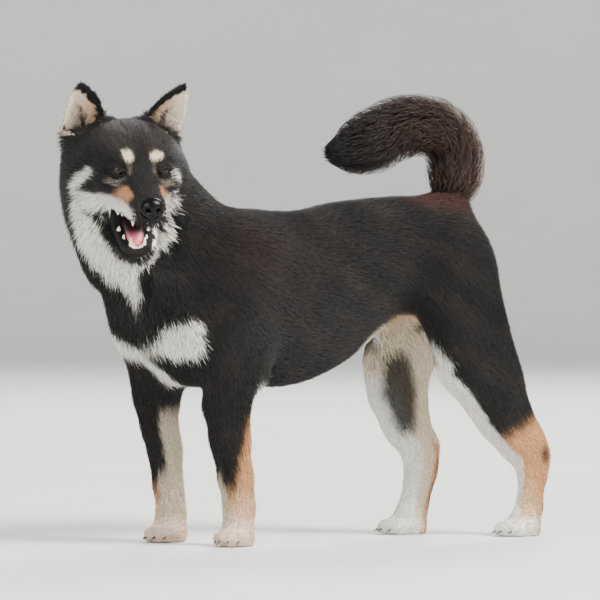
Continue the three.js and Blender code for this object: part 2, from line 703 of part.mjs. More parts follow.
// A paw at [x, y] on the floor, its toes turned from straight ahead to the dog's left
function pawSolid(field, { at: [px, py], turn }) {
  const yaw = new THREE.Matrix4().makeRotationZ(THREE.MathUtils.degToRad(turn)).setPosition(px, py, 0);
  const pad = seenFrom(yaw.clone().invert(), mass(0, 0, 8, 20, 24, 18));
  const wrist = within(blend(10, field, pad), mass(px, py + 4, 14, 52, 56, 44));
  let solid = solidOf(skinOf(wrist, [px - 44, py - 48, -24], [px + 44, py + 52, 66], PAW_CELL));
  for (const toe of TOES) {
    const pieces = ballSolid([toe.x, toe.y, 9], toe.r).add(clawSolid(toe.x, toe.y - toe.r[1] - 0.5, 7));
    solid = solid.add(pieces.transform(yaw.elements));
  }
  solid = keepSide(solid, [0, 0, PAW_TOP], [0, 0, -1]);
  return solid.trimByPlane([0, 0, 1], 0);
}

const forePaw = (side) => pawSolid(forelegField[side], FORE[side].paw);
const hindPaw = (side) => pawSolid(hindlegField[side], HIND[side].paw);

// Head pieces, in the head's own frame

// A closed tube through sections [centre, half width, half height], across the X axis
function tubeSolid(sections, around = 12) {
  const points = [];
  for (const [[cx, cy, cz], halfWidth, halfHeight] of sections)
    for (let i = 0; i < around; i++) {
      const angle = (i / around) * Math.PI * 2;
      points.push([cx + halfWidth * Math.cos(angle), cy, cz + halfHeight * Math.sin(angle)]);
    }
  return loftSolid(points, around);
}

// Closes rings of points, each with the same count, into a solid. A round ring ends in a fan, and a ring
// whose second half runs back along its first ends in a strip.
function loftSolid(points, around, strip = false) {
  const rings = points.length / around;
  const index = [];
  for (let r = 0; r < rings - 1; r++)
    for (let i = 0; i < around; i++) {
      const a = r * around + i;
      const b = r * around + (i + 1) % around;
      index.push(a, b, a + around, b, b + around, a + around);
    }
  const middle = (r) => {
    const ring = points.slice(r * around, (r + 1) * around);
    return [0, 1, 2].map((axis) => ring.reduce((sum, p) => sum + p[axis], 0) / around);
  };
  const last = (rings - 1) * around;
  const all = strip ? points : [...points, middle(0), middle(rings - 1)];
  if (strip)
    for (let k = 0; k < around / 2; k++) {
      const [near, far] = [(around - k) % around, around - k - 1];
      if (far !== k + 1) index.push(k + 1, k, far, last + k, last + k + 1, last + far);
      if (near !== k) index.push(far, k, near, last + k, last + far, last + near);
    }
  else
    for (let i = 0; i < around; i++) {
      const next = (i + 1) % around;
      index.push(next, i, points.length, last + i, last + next, points.length + 1);
    }
  const geometry = new THREE.BufferGeometry();
  geometry.setAttribute('position', new THREE.Float32BufferAttribute(all.flat(), 3));
  geometry.setIndex(index);
  const solid = solidOf(geometry);
  if (solid.volume() > 0) return solid;
  geometry.setIndex(index.reverse());
  return solidOf(geometry);
}

// A prism across the head from an outline of [y, z] points, as wide as its rear and front half widths
function prismSolid(outline, halfWidth, frontWidth = halfWidth) {
  const shape = new THREE.Shape(outline.map(([y, z]) => new THREE.Vector2(y, z)));
  const geometry = new THREE.ExtrudeGeometry(shape, { depth: halfWidth * 2, bevelEnabled: false });
  geometry.translate(0, 0, -halfWidth);
  const toHead = new THREE.Matrix4().makeBasis(
    new THREE.Vector3(0, 1, 0), new THREE.Vector3(0, 0, 1), new THREE.Vector3(1, 0, 0));
  geometry.applyMatrix4(toHead);
  const position = geometry.getAttribute('position');
  const rear = Math.max(...outline.map(([y]) => y));
  const front = Math.min(...outline.map(([y]) => y));
  for (let i = 0; i < position.count; i++) {
    const t = (rear - position.getY(i)) / (rear - front);
    position.setX(i, position.getX(i) * (1 + t * (frontWidth / halfWidth - 1)));
  }
  return solidOf(mergeVertices(geometry.deleteAttribute('normal').deleteAttribute('uv')));
}

// Each ear: the inner and outer corners of its base and its tip. The right one is held wider open.
const EARS = {
  [1]: { inner: [22, 28, 42], outer: [61, 34, 20], tip: [60, 8, 90] },
  [-1]: { inner: [-24, 28, 42], outer: [-69, 36, 19], tip: [-62, 8, 90] }
};
const EAR_ROOT = 20;
const EAR_WALL = 4.6;

// An ear is a cupped blade: an outer arc and an inner arc at each height, its root sunk in the head
function earSolid(side) {
  const [inner, outer, tip] = ['inner', 'outer', 'tip'].map((key) => new THREE.Vector3(...EARS[side][key]));
  const base = inner.clone().add(outer).multiplyScalar(0.5);
  const across = outer.clone().sub(inner);
  const halfBase = across.length() / 2;
  across.normalize();
  const up = tip.clone().sub(base);
  const height = up.length();
  up.normalize();
  const front = across.clone().cross(up).normalize().multiplyScalar(side);
  const steps = 6;
  const levels = 7;
  const points = [];
  for (let level = -1; level < levels; level++) {
    const t = Math.max(0, level / (levels - 1));
    const half = halfBase * (1 - t ** 2) ** 0.8 + 1.6;
    const wall = EAR_WALL * (1 - 0.6 * t);
    const bend = THREE.MathUtils.degToRad(76 - 36 * t);
    const radius = half / Math.sin(bend);
    const centre = base.clone().addScaledVector(up, level < 0 ? -EAR_ROOT : height * t);
    const arc = (u, inset) => centre.clone()
      .addScaledVector(across, (radius - inset) * Math.sin(u * bend))
      .addScaledVector(front, -(radius - inset) * Math.cos(u * bend) + radius * Math.cos(bend));
    for (let i = 0; i <= steps; i++) points.push(arc(-1 + 2 * i / steps, 0));
    for (let i = 1; i < steps; i++) points.push(arc(1 - 2 * i / steps, wall));
  }
  return loftSolid(points.map((p) => p.toArray()), 2 * steps, true);
}

const earCut = (side) => ({ point: [side * 42, 26, 43], normal: [side * 0.5, 0, 0.86] });

// Outlines of [y, z] across the head: the open mouth, and the part that belongs to the lower jaw
const MOUTH = [[-26, -45], [-33, -40], [-44, -37.5], [-125, -35], [-125, -118], [-90, -92], [-72, -81],
  [-55, -69], [-38, -56]];
const JAW_PART = [[-24, -46], [-16, -86], [-58, -122], [-98, -124], [-98, -94], [-90, -89], [-72, -78],
  [-55, -66], [-36, -51]];
const MOUTH_SHIFT = -7;
const MOUTH_HALF = [38, 32];
const JAW_HALF = [40, 6];

// Moves each corner of an outline away from its middle
function outset(outline, by) {
  const middle = [0, 1].map((axis) => outline.reduce((sum, p) => sum + p[axis], 0) / outline.length);
  return outline.map((p) => {
    const away = [p[0] - middle[0], p[1] - middle[1]];
    const far = Math.hypot(...away);
    return p.map((v, axis) => v + by * away[axis] / far);
  });
}

// Where a field's surface is on the way out from a point inside it, by halving
function surfaceFrom(field, start, towards) {
  let near = 0;
  let far = 90;
  const at = (distance) => start.map((v, axis) => v + distance * towards[axis]);
  for (let turn = 0; turn < 20; turn++) {
    const middle = (near + far) / 2;
    if (field(...at(middle)) < 0) near = middle;
    else far = middle;
  }
  return at(near);
}

// A cord of flesh through points, with a round section
function cordSolid(path, radius, around = 5) {
  const points = [];
  path.forEach((p, i) => {
    const before = new THREE.Vector3(...path[Math.max(0, i - 1)]);
    const after = new THREE.Vector3(...path[Math.min(path.length - 1, i + 1)]);
    const run = after.sub(before).normalize();
    const up = new THREE.Vector3(0, 0, 1).addScaledVector(run, -run.z).normalize();
    const side = up.clone().cross(run);
    for (let k = 0; k < around; k++) {
      const angle = (k / around) * Math.PI * 2;
      points.push(new THREE.Vector3(...p).addScaledVector(side, radius * Math.cos(angle))
        .addScaledVector(up, radius * Math.sin(angle)).toArray());
    }
  });
  return loftSolid(points, around);
}

// The edge of a lip from one corner of the mouth round the front to the other, from [y, z] stations on one
// side, set a little inside the skin
const LIP_RADIUS = 2.3;
const LIP_INSET = 1.2;
const UPPER_LIP_LINE = [[-40, -38.5], [-56, -37], [-76, -36.5], [-93, -36]];
const LOWER_LIP_LINE = [[-37, -56], [-50, -66], [-63, -75]];

function lipPath(field, line, lift, front) {
  const out = (side) => line.map(([y, z]) => {
    const [x, sy, sz] = surfaceFrom(field, [0, y, z + lift], [side, 0, 0]);
    return [x - side * LIP_INSET, sy, sz - lift];
  });
  const [, y, z] = surfaceFrom(field, [0, front[0], front[1] + lift], [0, -1, 0]);
  return [...out(RIGHT), [0, y + LIP_INSET, z - lift], ...out(LEFT).reverse()];
}

// Teeth stand along the lip's path, a little inside it: [place along one side from the front, radius, height]
const UPPER_TEETH = [[0.06, 2, 4], [0.17, 2.1, 4.4], [0.28, 3, 10], [0.5, 3, 4.6], [0.66, 3.2, 5.4],
  [0.82, 3.6, 6]];
const LOWER_TEETH = [[0.07, 1.9, 4], [0.2, 2, 4.4], [0.34, 2.9, 9.5], [0.58, 2.8, 4.4], [0.78, 3.2, 5.2]];

const TOOTH_ROOT = 3;
const TOOTH_SINK = 1;

function teethSolids(path, teeth, inset, rise) {
  const solids = [];
  const middle = (path.length - 1) / 2;
  const curve = new THREE.CatmullRomCurve3(path.map((p) => new THREE.Vector3(...p)));
  for (const side of [LEFT, RIGHT])
    for (const [place, radius, height] of teeth) {
      const at = curve.getPoint((middle + side * place * middle) / (path.length - 1));
      const tooth = new THREE.ConeGeometry(radius, height + TOOTH_ROOT, 4);
      if (rise < 0) tooth.rotateX(Math.PI);
      const lift = rise * (height / 2 - TOOTH_SINK);
      tooth.translate(at.x - Math.sign(at.x) * inset, at.y + inset * (1 - place), at.z + lift);
      solids.push(solidOf(tooth));
    }
  return solids;
}

// Tongue, in the jaw's frame
const TONGUE = [
  [[0, -34, 3.4], 9, 3.4], [[0, -46, 5.4], 12.5, 4.6], [[0, -62, 5.4], 12.5, 4.8], [[0, -74, 4.4], 10.5, 4.2],
  [[0, -82, 3.2], 8, 3.2], [[0, -86, 2.4], 4, 1.8]
];
const widened = (sections, by) => sections.map(([[x, y, z], w, h], i, all) => {
  const shift = i === 0 ? by : i === all.length - 1 ? -by : 0;
  return [[x, y + shift, z], w + by, h + by];
});

const tongueSolid = (extra) => tubeSolid(widened(TONGUE, extra)).transform(jawMatrix.elements);
const NOSTRIL = { x: 6, y: -117, z: -17.5, r: [3, 5.5, 3.4] };

function noseSolid(extra) {
  const ball = ballSolid(NOSE_AT, [14 + extra, 9 + extra, 12.5 + extra], 12, 8);
  if (extra) return ball;
  const { x, y, z, r } = NOSTRIL;
  return ball.subtract(ballSolid([x, y, z], r, 6, 4)).subtract(ballSolid([-x, y, z], r, 6, 4));
}
const eyeSolid = (side, extra) =>
  ballSolid([side * EYE_AT[0], EYE_AT[1], EYE_AT[2]], [1, 1, 1].map(() => EYE_RADIUS + extra), 10, 8);

// The lids are a shell round the eye with an almond opening, which looks a little outward and up at its
// outer corner
const LID = { thick: 2.1, halfWidth: 9.4, upper: 5.2, lower: 4.6, outward: 14, slant: 12 };

function eyeOpening(side) {
  const { halfWidth, upper, lower, outward, slant } = LID;
  const almond = new THREE.Shape();
  almond.moveTo(-halfWidth, 0);
  almond.quadraticCurveTo(0, 2 * upper, halfWidth, 0);
  almond.quadraticCurveTo(0, -2 * lower, -halfWidth, 0);
  const geometry = new THREE.ExtrudeGeometry(almond, { depth: 24, bevelEnabled: false, curveSegments: 4 });
  geometry.rotateZ(THREE.MathUtils.degToRad(side * slant));
  geometry.rotateX(Math.PI / 2);
  geometry.rotateZ(THREE.MathUtils.degToRad(side * outward));
  geometry.translate(side * EYE_AT[0], EYE_AT[1], EYE_AT[2]);
  return solidOf(mergeVertices(geometry.deleteAttribute('normal').deleteAttribute('uv')));
}

function headSolids() {
  const field = blend(12, headField, seenFrom(headMatrix, front));
  const reach = mass(0, -20, -10, 130, 130, 130);
  let solid = solidOf(skinOf(within(field, reach), [-110, -140, -120], [110, 90, 90], HEAD_CELL));
  solid = solid.subtract(prismSolid(MOUTH, ...MOUTH_HALF).translate([MOUTH_SHIFT, 0, 0]));
  solid = solid.add(earSolid(LEFT)).add(earSolid(RIGHT));
  const pieces = {};
  for (const [side, word] of [[LEFT, 'left'], [RIGHT, 'right']]) {
    const { point, normal } = earCut(side);
    pieces[`ear_${word}`] = keepSide(solid, point, normal);
    solid = keepSide(solid, point, opposite(normal));
  }
  solid = keepSide(solid, NECK_TOP.point, NECK_TOP.normal);
  solid = keepSide(solid, neckRootInHead.point, neckRootInHead.normal);
  pieces.tongue = tongueSolid(0);
  pieces.nose = noseSolid(0);
  for (const [side, word] of [[LEFT, 'left'], [RIGHT, 'right']]) {
    pieces[`eye_${word}`] = eyeSolid(side, 0);
    solid = solid.add(eyeSolid(side, LID.thick)).subtract(eyeSolid(side, GAP)).subtract(eyeOpening(side));
  }
  const jawSpace = prismSolid(JAW_PART, ...JAW_HALF).translate([MOUTH_SHIFT, 0, 0]);
  const jawRoom = prismSolid(outset(JAW_PART, 2 * GAP), ...JAW_HALF.map((half) => half + 2 * GAP))
    .translate([MOUTH_SHIFT, 0, 0]);
  const upperPath = lipPath(headField, UPPER_LIP_LINE, 1.5, [-80, -34]);
  const lowerPath = lipPath(headField, LOWER_LIP_LINE, -8, [-55, -80]);
  const upperMouth = join(cordSolid(upperPath, LIP_RADIUS), ...teethSolids(upperPath, UPPER_TEETH, 4, -1));
  const mouthOutline = MOUTH.map(([y, z]) => [y - GAP, z - GAP]);
  const mouthSpace = prismSolid(mouthOutline, ...MOUTH_HALF.map((half) => half - GAP))
    .translate([MOUTH_SHIFT, 0, 0]);
  const lowerMouth = join(cordSolid(lowerPath, LIP_RADIUS), ...teethSolids(lowerPath, LOWER_TEETH, 3.4, 1))
    .intersect(jawSpace.add(mouthSpace));
  const hollow = tongueSolid(GAP).add(noseSolid(GAP));
  pieces.jaw_lower = solid.intersect(jawSpace).add(lowerMouth).subtract(hollow);
  pieces.head = solid.add(upperMouth).subtract(jawRoom).subtract(hollow)
    .subtract(cordSolid(lowerPath, LIP_RADIUS + 2 * GAP));
  return pieces;
}

// Nodes

const dog = new THREE.Group();
const stand = new THREE.Group();
const headFrame = new THREE.Group();
headFrame.name = 'head_frame';
headFrame.applyMatrix4(headMatrix);
stand.add(headFrame);
dog.add(stand);

function addNode(parent, name, solid, material) {
  const mesh = new THREE.Mesh(geometryOf(solid), material);
  mesh.name = name;
  parent.add(mesh);
}

addNode(stand, 'torso', torsoSolid(), BLACK_COAT);
addNode(stand, 'neck', neckSolid(), BLACK_COAT);
for (const [side, word] of [[LEFT, 'left'], [RIGHT, 'right']]) {
  addNode(stand, `foreleg_${word}`, forelegSolid(side), BLACK_COAT);
  addNode(stand, `paw_fore_${word}`, forePaw(side), TAN_COAT);
  addNode(stand, `hindleg_${word}`, hindlegSolid(side), BLACK_COAT);
  addNode(stand, `paw_hind_${word}`, hindPaw(side), CREAM_COAT);
}
for (const [name, solid] of Object.entries(tailSolids())) addNode(stand, name, solid, TAIL_COAT);

const HEAD_FINISH = {
  tongue: TONGUE_FLESH, nose: NOSE_LEATHER, eye_left: EYE_GLOSS, eye_right: EYE_GLOSS,
  ear_left: EAR_COAT, ear_right: EAR_COAT, jaw_lower: CREAM_COAT, head: BLACK_COAT
};
for (const [name, solid] of Object.entries(headSolids())) addNode(headFrame, name, solid, HEAD_FINISH[name]);

// The origin goes to the middle of the bounding box, on the floor
dog.updateMatrixWorld(true);
const bounds = new THREE.Box3().setFromObject(dog, true);
stand.position.set(-(bounds.min.x + bounds.max.x) / 2, -(bounds.min.y + bounds.max.y) / 2, -bounds.min.z);
dog.updateMatrixWorld(true);

export default dog;
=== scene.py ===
"""A still, life-size model of a black and tan shiba inu that stands with its head turned and mouth open.

One skin replaces the frame's nodes of flesh, and tufts of solid mesh lie over it. The skin and the tufts
take their colours from the same markings, which are masks around named places of the body. Places are in
millimetres: body places in the stand's frame, where the dog faces -Y and its left is +X, and head places
in the head's own frame, with X to its left, Y to its back and Z to its crown.
"""

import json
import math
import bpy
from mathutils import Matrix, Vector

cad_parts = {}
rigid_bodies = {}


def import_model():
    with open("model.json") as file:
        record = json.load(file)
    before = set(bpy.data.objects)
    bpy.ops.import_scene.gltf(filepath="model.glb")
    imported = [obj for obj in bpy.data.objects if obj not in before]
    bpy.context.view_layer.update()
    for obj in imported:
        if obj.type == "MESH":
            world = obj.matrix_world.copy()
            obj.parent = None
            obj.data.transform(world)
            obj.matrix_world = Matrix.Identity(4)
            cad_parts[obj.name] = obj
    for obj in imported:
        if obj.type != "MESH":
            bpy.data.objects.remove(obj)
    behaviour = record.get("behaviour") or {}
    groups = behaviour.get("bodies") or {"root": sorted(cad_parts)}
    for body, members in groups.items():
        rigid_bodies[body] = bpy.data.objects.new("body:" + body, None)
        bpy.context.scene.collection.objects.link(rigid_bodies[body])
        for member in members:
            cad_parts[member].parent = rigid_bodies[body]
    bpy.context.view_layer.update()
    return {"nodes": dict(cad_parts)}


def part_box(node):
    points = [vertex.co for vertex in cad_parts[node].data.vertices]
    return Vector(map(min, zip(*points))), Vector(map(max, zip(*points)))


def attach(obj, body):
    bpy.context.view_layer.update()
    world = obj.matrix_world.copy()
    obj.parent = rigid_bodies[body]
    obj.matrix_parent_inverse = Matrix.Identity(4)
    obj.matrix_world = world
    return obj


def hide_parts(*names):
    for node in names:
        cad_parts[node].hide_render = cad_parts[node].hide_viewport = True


bl_info = {
    "name": "Shiba Inu Study",
    "version": (1, 0, 0),
    "blender": (4, 5, 0),
    "location": "View3D > Sidebar > Shiba",
    "description": "Builds the skin, coat, eyes, nose, mouth and claws of a standing shiba inu",
    "category": "Object",
}

import bpy
import numpy as np
from mathutils import Matrix, Vector
from mathutils.bvhtree import BVHTree

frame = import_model()
MM = 0.001

# The head's place, turn and nod on the stand, as the solids have them
HEAD_AT = np.array([36.0, -218.0, 427.0])
HEAD_TURN = math.radians(78.3)
HEAD_NOD = math.radians(18.5)
HEAD_AXES = np.array(Matrix.Rotation(HEAD_TURN, 3, "Z") @ Matrix.Rotation(HEAD_NOD, 3, "X"))
EYE_AT = np.array([23.8, -44.0, 6.0])
EYE_RADIUS = 10.5
NOSE_AT = np.array([0.0, -110.0, -18.0])
NOSE_RADII = np.array([14.0, 9.0, 12.5])
HINGE = np.array([0.0, 6.0, -32.0])
JAW_GAPE = math.radians(31)
LEFT = 1
RIGHT = -1


def from_head(points):
    """Places in the head's frame, moved to the stand's frame."""
    return np.asarray(points, float) @ HEAD_AXES.T + HEAD_AT


def to_head(points):
    """Places in the stand's frame, moved to the head's frame."""
    return (np.asarray(points, float) - HEAD_AT) @ HEAD_AXES


def from_jaw(points):
    """Places in the lower jaw's frame, moved to the head's frame."""
    turn = np.array(Matrix.Rotation(JAW_GAPE, 3, "X"))
    return np.asarray(points, float) @ turn.T + HINGE


def to_jaw(points):
    """Places in the head's frame, moved to the lower jaw's frame."""
    turn = np.array(Matrix.Rotation(JAW_GAPE, 3, "X"))
    return (np.asarray(points, float) - HINGE) @ turn


EYE_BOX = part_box("eye_left")
SHIFT = np.array((EYE_BOX[0] + EYE_BOX[1]) / 2) / MM - from_head(EYE_AT)


def to_row(points):
    """Places in the stand's frame in millimetres, moved to the row's frame in metres."""
    return (np.asarray(points, float) + SHIFT) * MM


def from_row(points):
    """Places in the row's frame in metres, moved to the stand's frame in millimetres."""
    return np.asarray(points, float) / MM - SHIFT


# Masks

def ramp(start, end, value):
    """0 up to start and 1 from end on, with a smooth rise between them."""
    t = np.clip((value - start) / (end - start), 0, 1)
    return t * t * (3 - 2 * t)


def ripple(points, size, seed):
    """Soft noise of about -1 to 1, whose waves are about size apart."""
    draws = np.random.default_rng(seed)
    total = np.zeros(len(points))
    for _ in range(6):
        wave = draws.normal(size=3)
        wave *= 2 * math.pi / (size * (0.6 + 0.9 * draws.random()) * np.linalg.norm(wave))
        total += np.sin(points @ wave + 2 * math.pi * draws.random())
    return total / 3


def blob(points, centre, radii, soft=0.3):
    """1 inside an ellipsoid, fading to 0 across its soft border."""
    reach = np.linalg.norm((points - np.array(centre, float)) / np.array(radii, float), axis=1)
    return 1 - ramp(1 - soft, 1 + soft, reach)


def strip(points, path, soft=3.0):
    """1 near a path of [x, y, z, radius] points, fading to 0 across a border soft wide."""
    path = np.array(path, float)
    far = np.full(len(points), 1e9)
    for a, b in zip(path[:-1], path[1:]):
        run = b[:3] - a[:3]
        t = np.clip((points - a[:3]) @ run / max(run @ run, 1e-9), 0, 1)
        radius = a[3] + t * (b[3] - a[3])
        gap = np.linalg.norm(points - a[:3] - t[:, None] * run, axis=1) - radius
        far = np.minimum(far, gap)
    return 1 - ramp(-soft, soft, far)


def outline_gap(y, z, outline):
    """Distance from [y, z] places to a closed outline, negative inside it."""
    corners = np.array(outline, float)
    far = np.full(len(y), 1e9)
    inside = np.zeros(len(y), bool)
    for a, b in zip(corners, np.roll(corners, -1, axis=0)):
        run = b - a
        t = np.clip(((y - a[0]) * run[0] + (z - a[1]) * run[1]) / (run @ run), 0, 1)
        far = np.minimum(far, np.hypot(y - a[0] - t * run[0], z - a[1] - t * run[1]))
        if run[1]:
            crosses = (a[1] > z) != (b[1] > z)
            inside ^= crosses & (y < a[0] + (z - a[1]) / run[1] * run[0])
    return np.where(inside, -far, far)


# Legs, as centre lines of [x, y, z, radius] from the elbow or knee to the paw, and the way each faces

FORE_LINE = {
    LEFT: [(70, -111, 197, 33), (66, -113, 165, 29), (63, -107, 120, 24), (61, -99, 78, 20.5),
           (60, -94, 43, 18.5), (60, -95, 0, 17)],
    RIGHT: [(-38, -146, 197, 33), (-38, -148, 167, 28), (-41, -143.5, 133, 22), (-43, -135.5, 105, 20.5),
            (-45, -130.5, 68, 18), (-46, -126, 39, 17.5), (-46, -127, 0, 17)],
}
HIND_LINE = {
    LEFT: [(56, 203, 200, 37), (55, 236, 166, 37), (53, 252, 139, 32), (51, 276, 110, 27),
           (50, 291, 94, 21), (50, 292, 68, 16.5), (50, 288, 38, 15.5), (49, 284, 0, 16)],
    RIGHT: [(-52, 168, 200, 38), (-51, 170, 165, 35), (-49, 180, 128, 28), (-46, 198, 100, 22),
            (-45, 198, 75, 18.5), (-45, 194, 52, 16.5), (-45, 186, 28, 16), (-45, 182, 0, 16)],
}
FORE_PAWS = {LEFT: ((62, -98), 38), RIGHT: ((-45, -129), 26)}
HIND_PAWS = {LEFT: ((49, 279), 6), RIGHT: ((-45, 180), -8)}
TOES = ((-14, -14, 13), (-5.4, -22, 14), (5.4, -22, 14), (14, -14, 13))

# The tail's centre line as [x, y, z, radius of its flesh, reach of its brush]
TAIL_LINE = [(0, 203, 370, 30, 31), (2, 217, 420, 20, 33), (4, 210, 452, 16, 34), (6, 186, 470, 16, 35),
             (8, 155, 473, 16, 35), (9, 127, 466, 16, 36), (10, 101, 453, 16, 36), (11, 76, 444, 12, 30),
             (12, 58, 441, 7, 17)]

# Each ear's inner and outer corner and its tip, in the head's frame
EARS = {
    LEFT: ((22, 28, 42), (61, 34, 20), (60, 8, 90)),
    RIGHT: ((-24, 28, 42), (-69, 36, 19), (-62, 8, 90)),
}
MOUTH_OUTLINE = [(-26, -45), (-33, -40), (-44, -37.5), (-125, -35), (-125, -118), (-90, -92), (-72, -81),
                 (-55, -69), (-38, -56)]
MOUTH_MIDDLE = -7
MOUTH_REACH = 46
LIP_BAND = 8
FAR_CHEEK = 24
LID_HALF_WIDTH = 7.8
LID_HALF_HEIGHT = 3.7
LID_THICKNESS = 1.0
LID_OUTWARD = math.radians(14)
LID_SLANT = math.radians(12)
ALMOND = 1.7


def leg_places(points, line, facing):
    """Height, how far forward and how far outward each point is on a leg, the last two by its radius."""
    line = np.array(line, float)[::-1]
    z = points[:, 2]
    x, y, radius = (np.interp(z, line[:, 2], line[:, i]) for i in (0, 1, 3))
    ahead = np.array([math.sin(facing), -math.cos(facing)])
    off = np.stack([points[:, 0] - x, points[:, 1] - y], axis=1) / (0.85 * radius[:, None])
    forward = off @ ahead
    leftward = off @ np.array([-ahead[1], ahead[0]])
    near = np.linalg.norm(off, axis=1)
    return z, forward, leftward, near


def eye_axis(side):
    """The way that one eye looks, in the head's frame."""
    return np.array([side * math.sin(LID_OUTWARD), -math.cos(LID_OUTWARD), 0])


def eye_places(head_points, side):
    """Places round one eye: across and up its opening, out along its axis, and 1 on the lids' edge."""
    x_axis = np.array([math.cos(LID_OUTWARD), side * math.sin(LID_OUTWARD), 0])
    out = eye_axis(side)
    up = np.array([0, 0, 1.0])
    tilt = side * LID_SLANT
    across = math.cos(tilt) * x_axis + math.sin(tilt) * up
    rise = -math.sin(tilt) * x_axis + math.cos(tilt) * up
    off = head_points - EYE_AT * [side, 1, 1]
    a, b, w = off @ across, off @ rise, off @ out
    edge = (np.abs(a) / LID_HALF_WIDTH) ** ALMOND + (np.abs(b) / LID_HALF_HEIGHT) ** ALMOND
    return a, b, w, edge


def ear_places(head_points, side):
    """Places on an ear: 0 at its root to 1 at its tip, and -1 at its inner edge to 1 at its outer one."""
    inner, outer, tip = (np.array(p, float) for p in EARS[side])
    base = (inner + outer) / 2
    across = outer - inner
    half = np.linalg.norm(across) / 2
    across /= 2 * half
    up = tip - base
    height = np.linalg.norm(up)
    up /= height
    front = np.cross(across, up) * side
    front /= np.linalg.norm(front)
    off = head_points - base
    t = off @ up / height
    width = half * (1 - np.clip(t, 0, 1) ** 2) ** 0.8 + 1.6
    return t, off @ across / width, off @ front, front


def mouth_gap(head_points):
    """Distance to the room of the open mouth, seen from the side."""
    return outline_gap(head_points[:, 1], head_points[:, 2], MOUTH_OUTLINE)


# Coat table: name, coat piece, frame, place, reach, lie, length, depth, width and spacing. The frame is body
# or head, and both or head2 is the same frame for a row that is used on both sides.

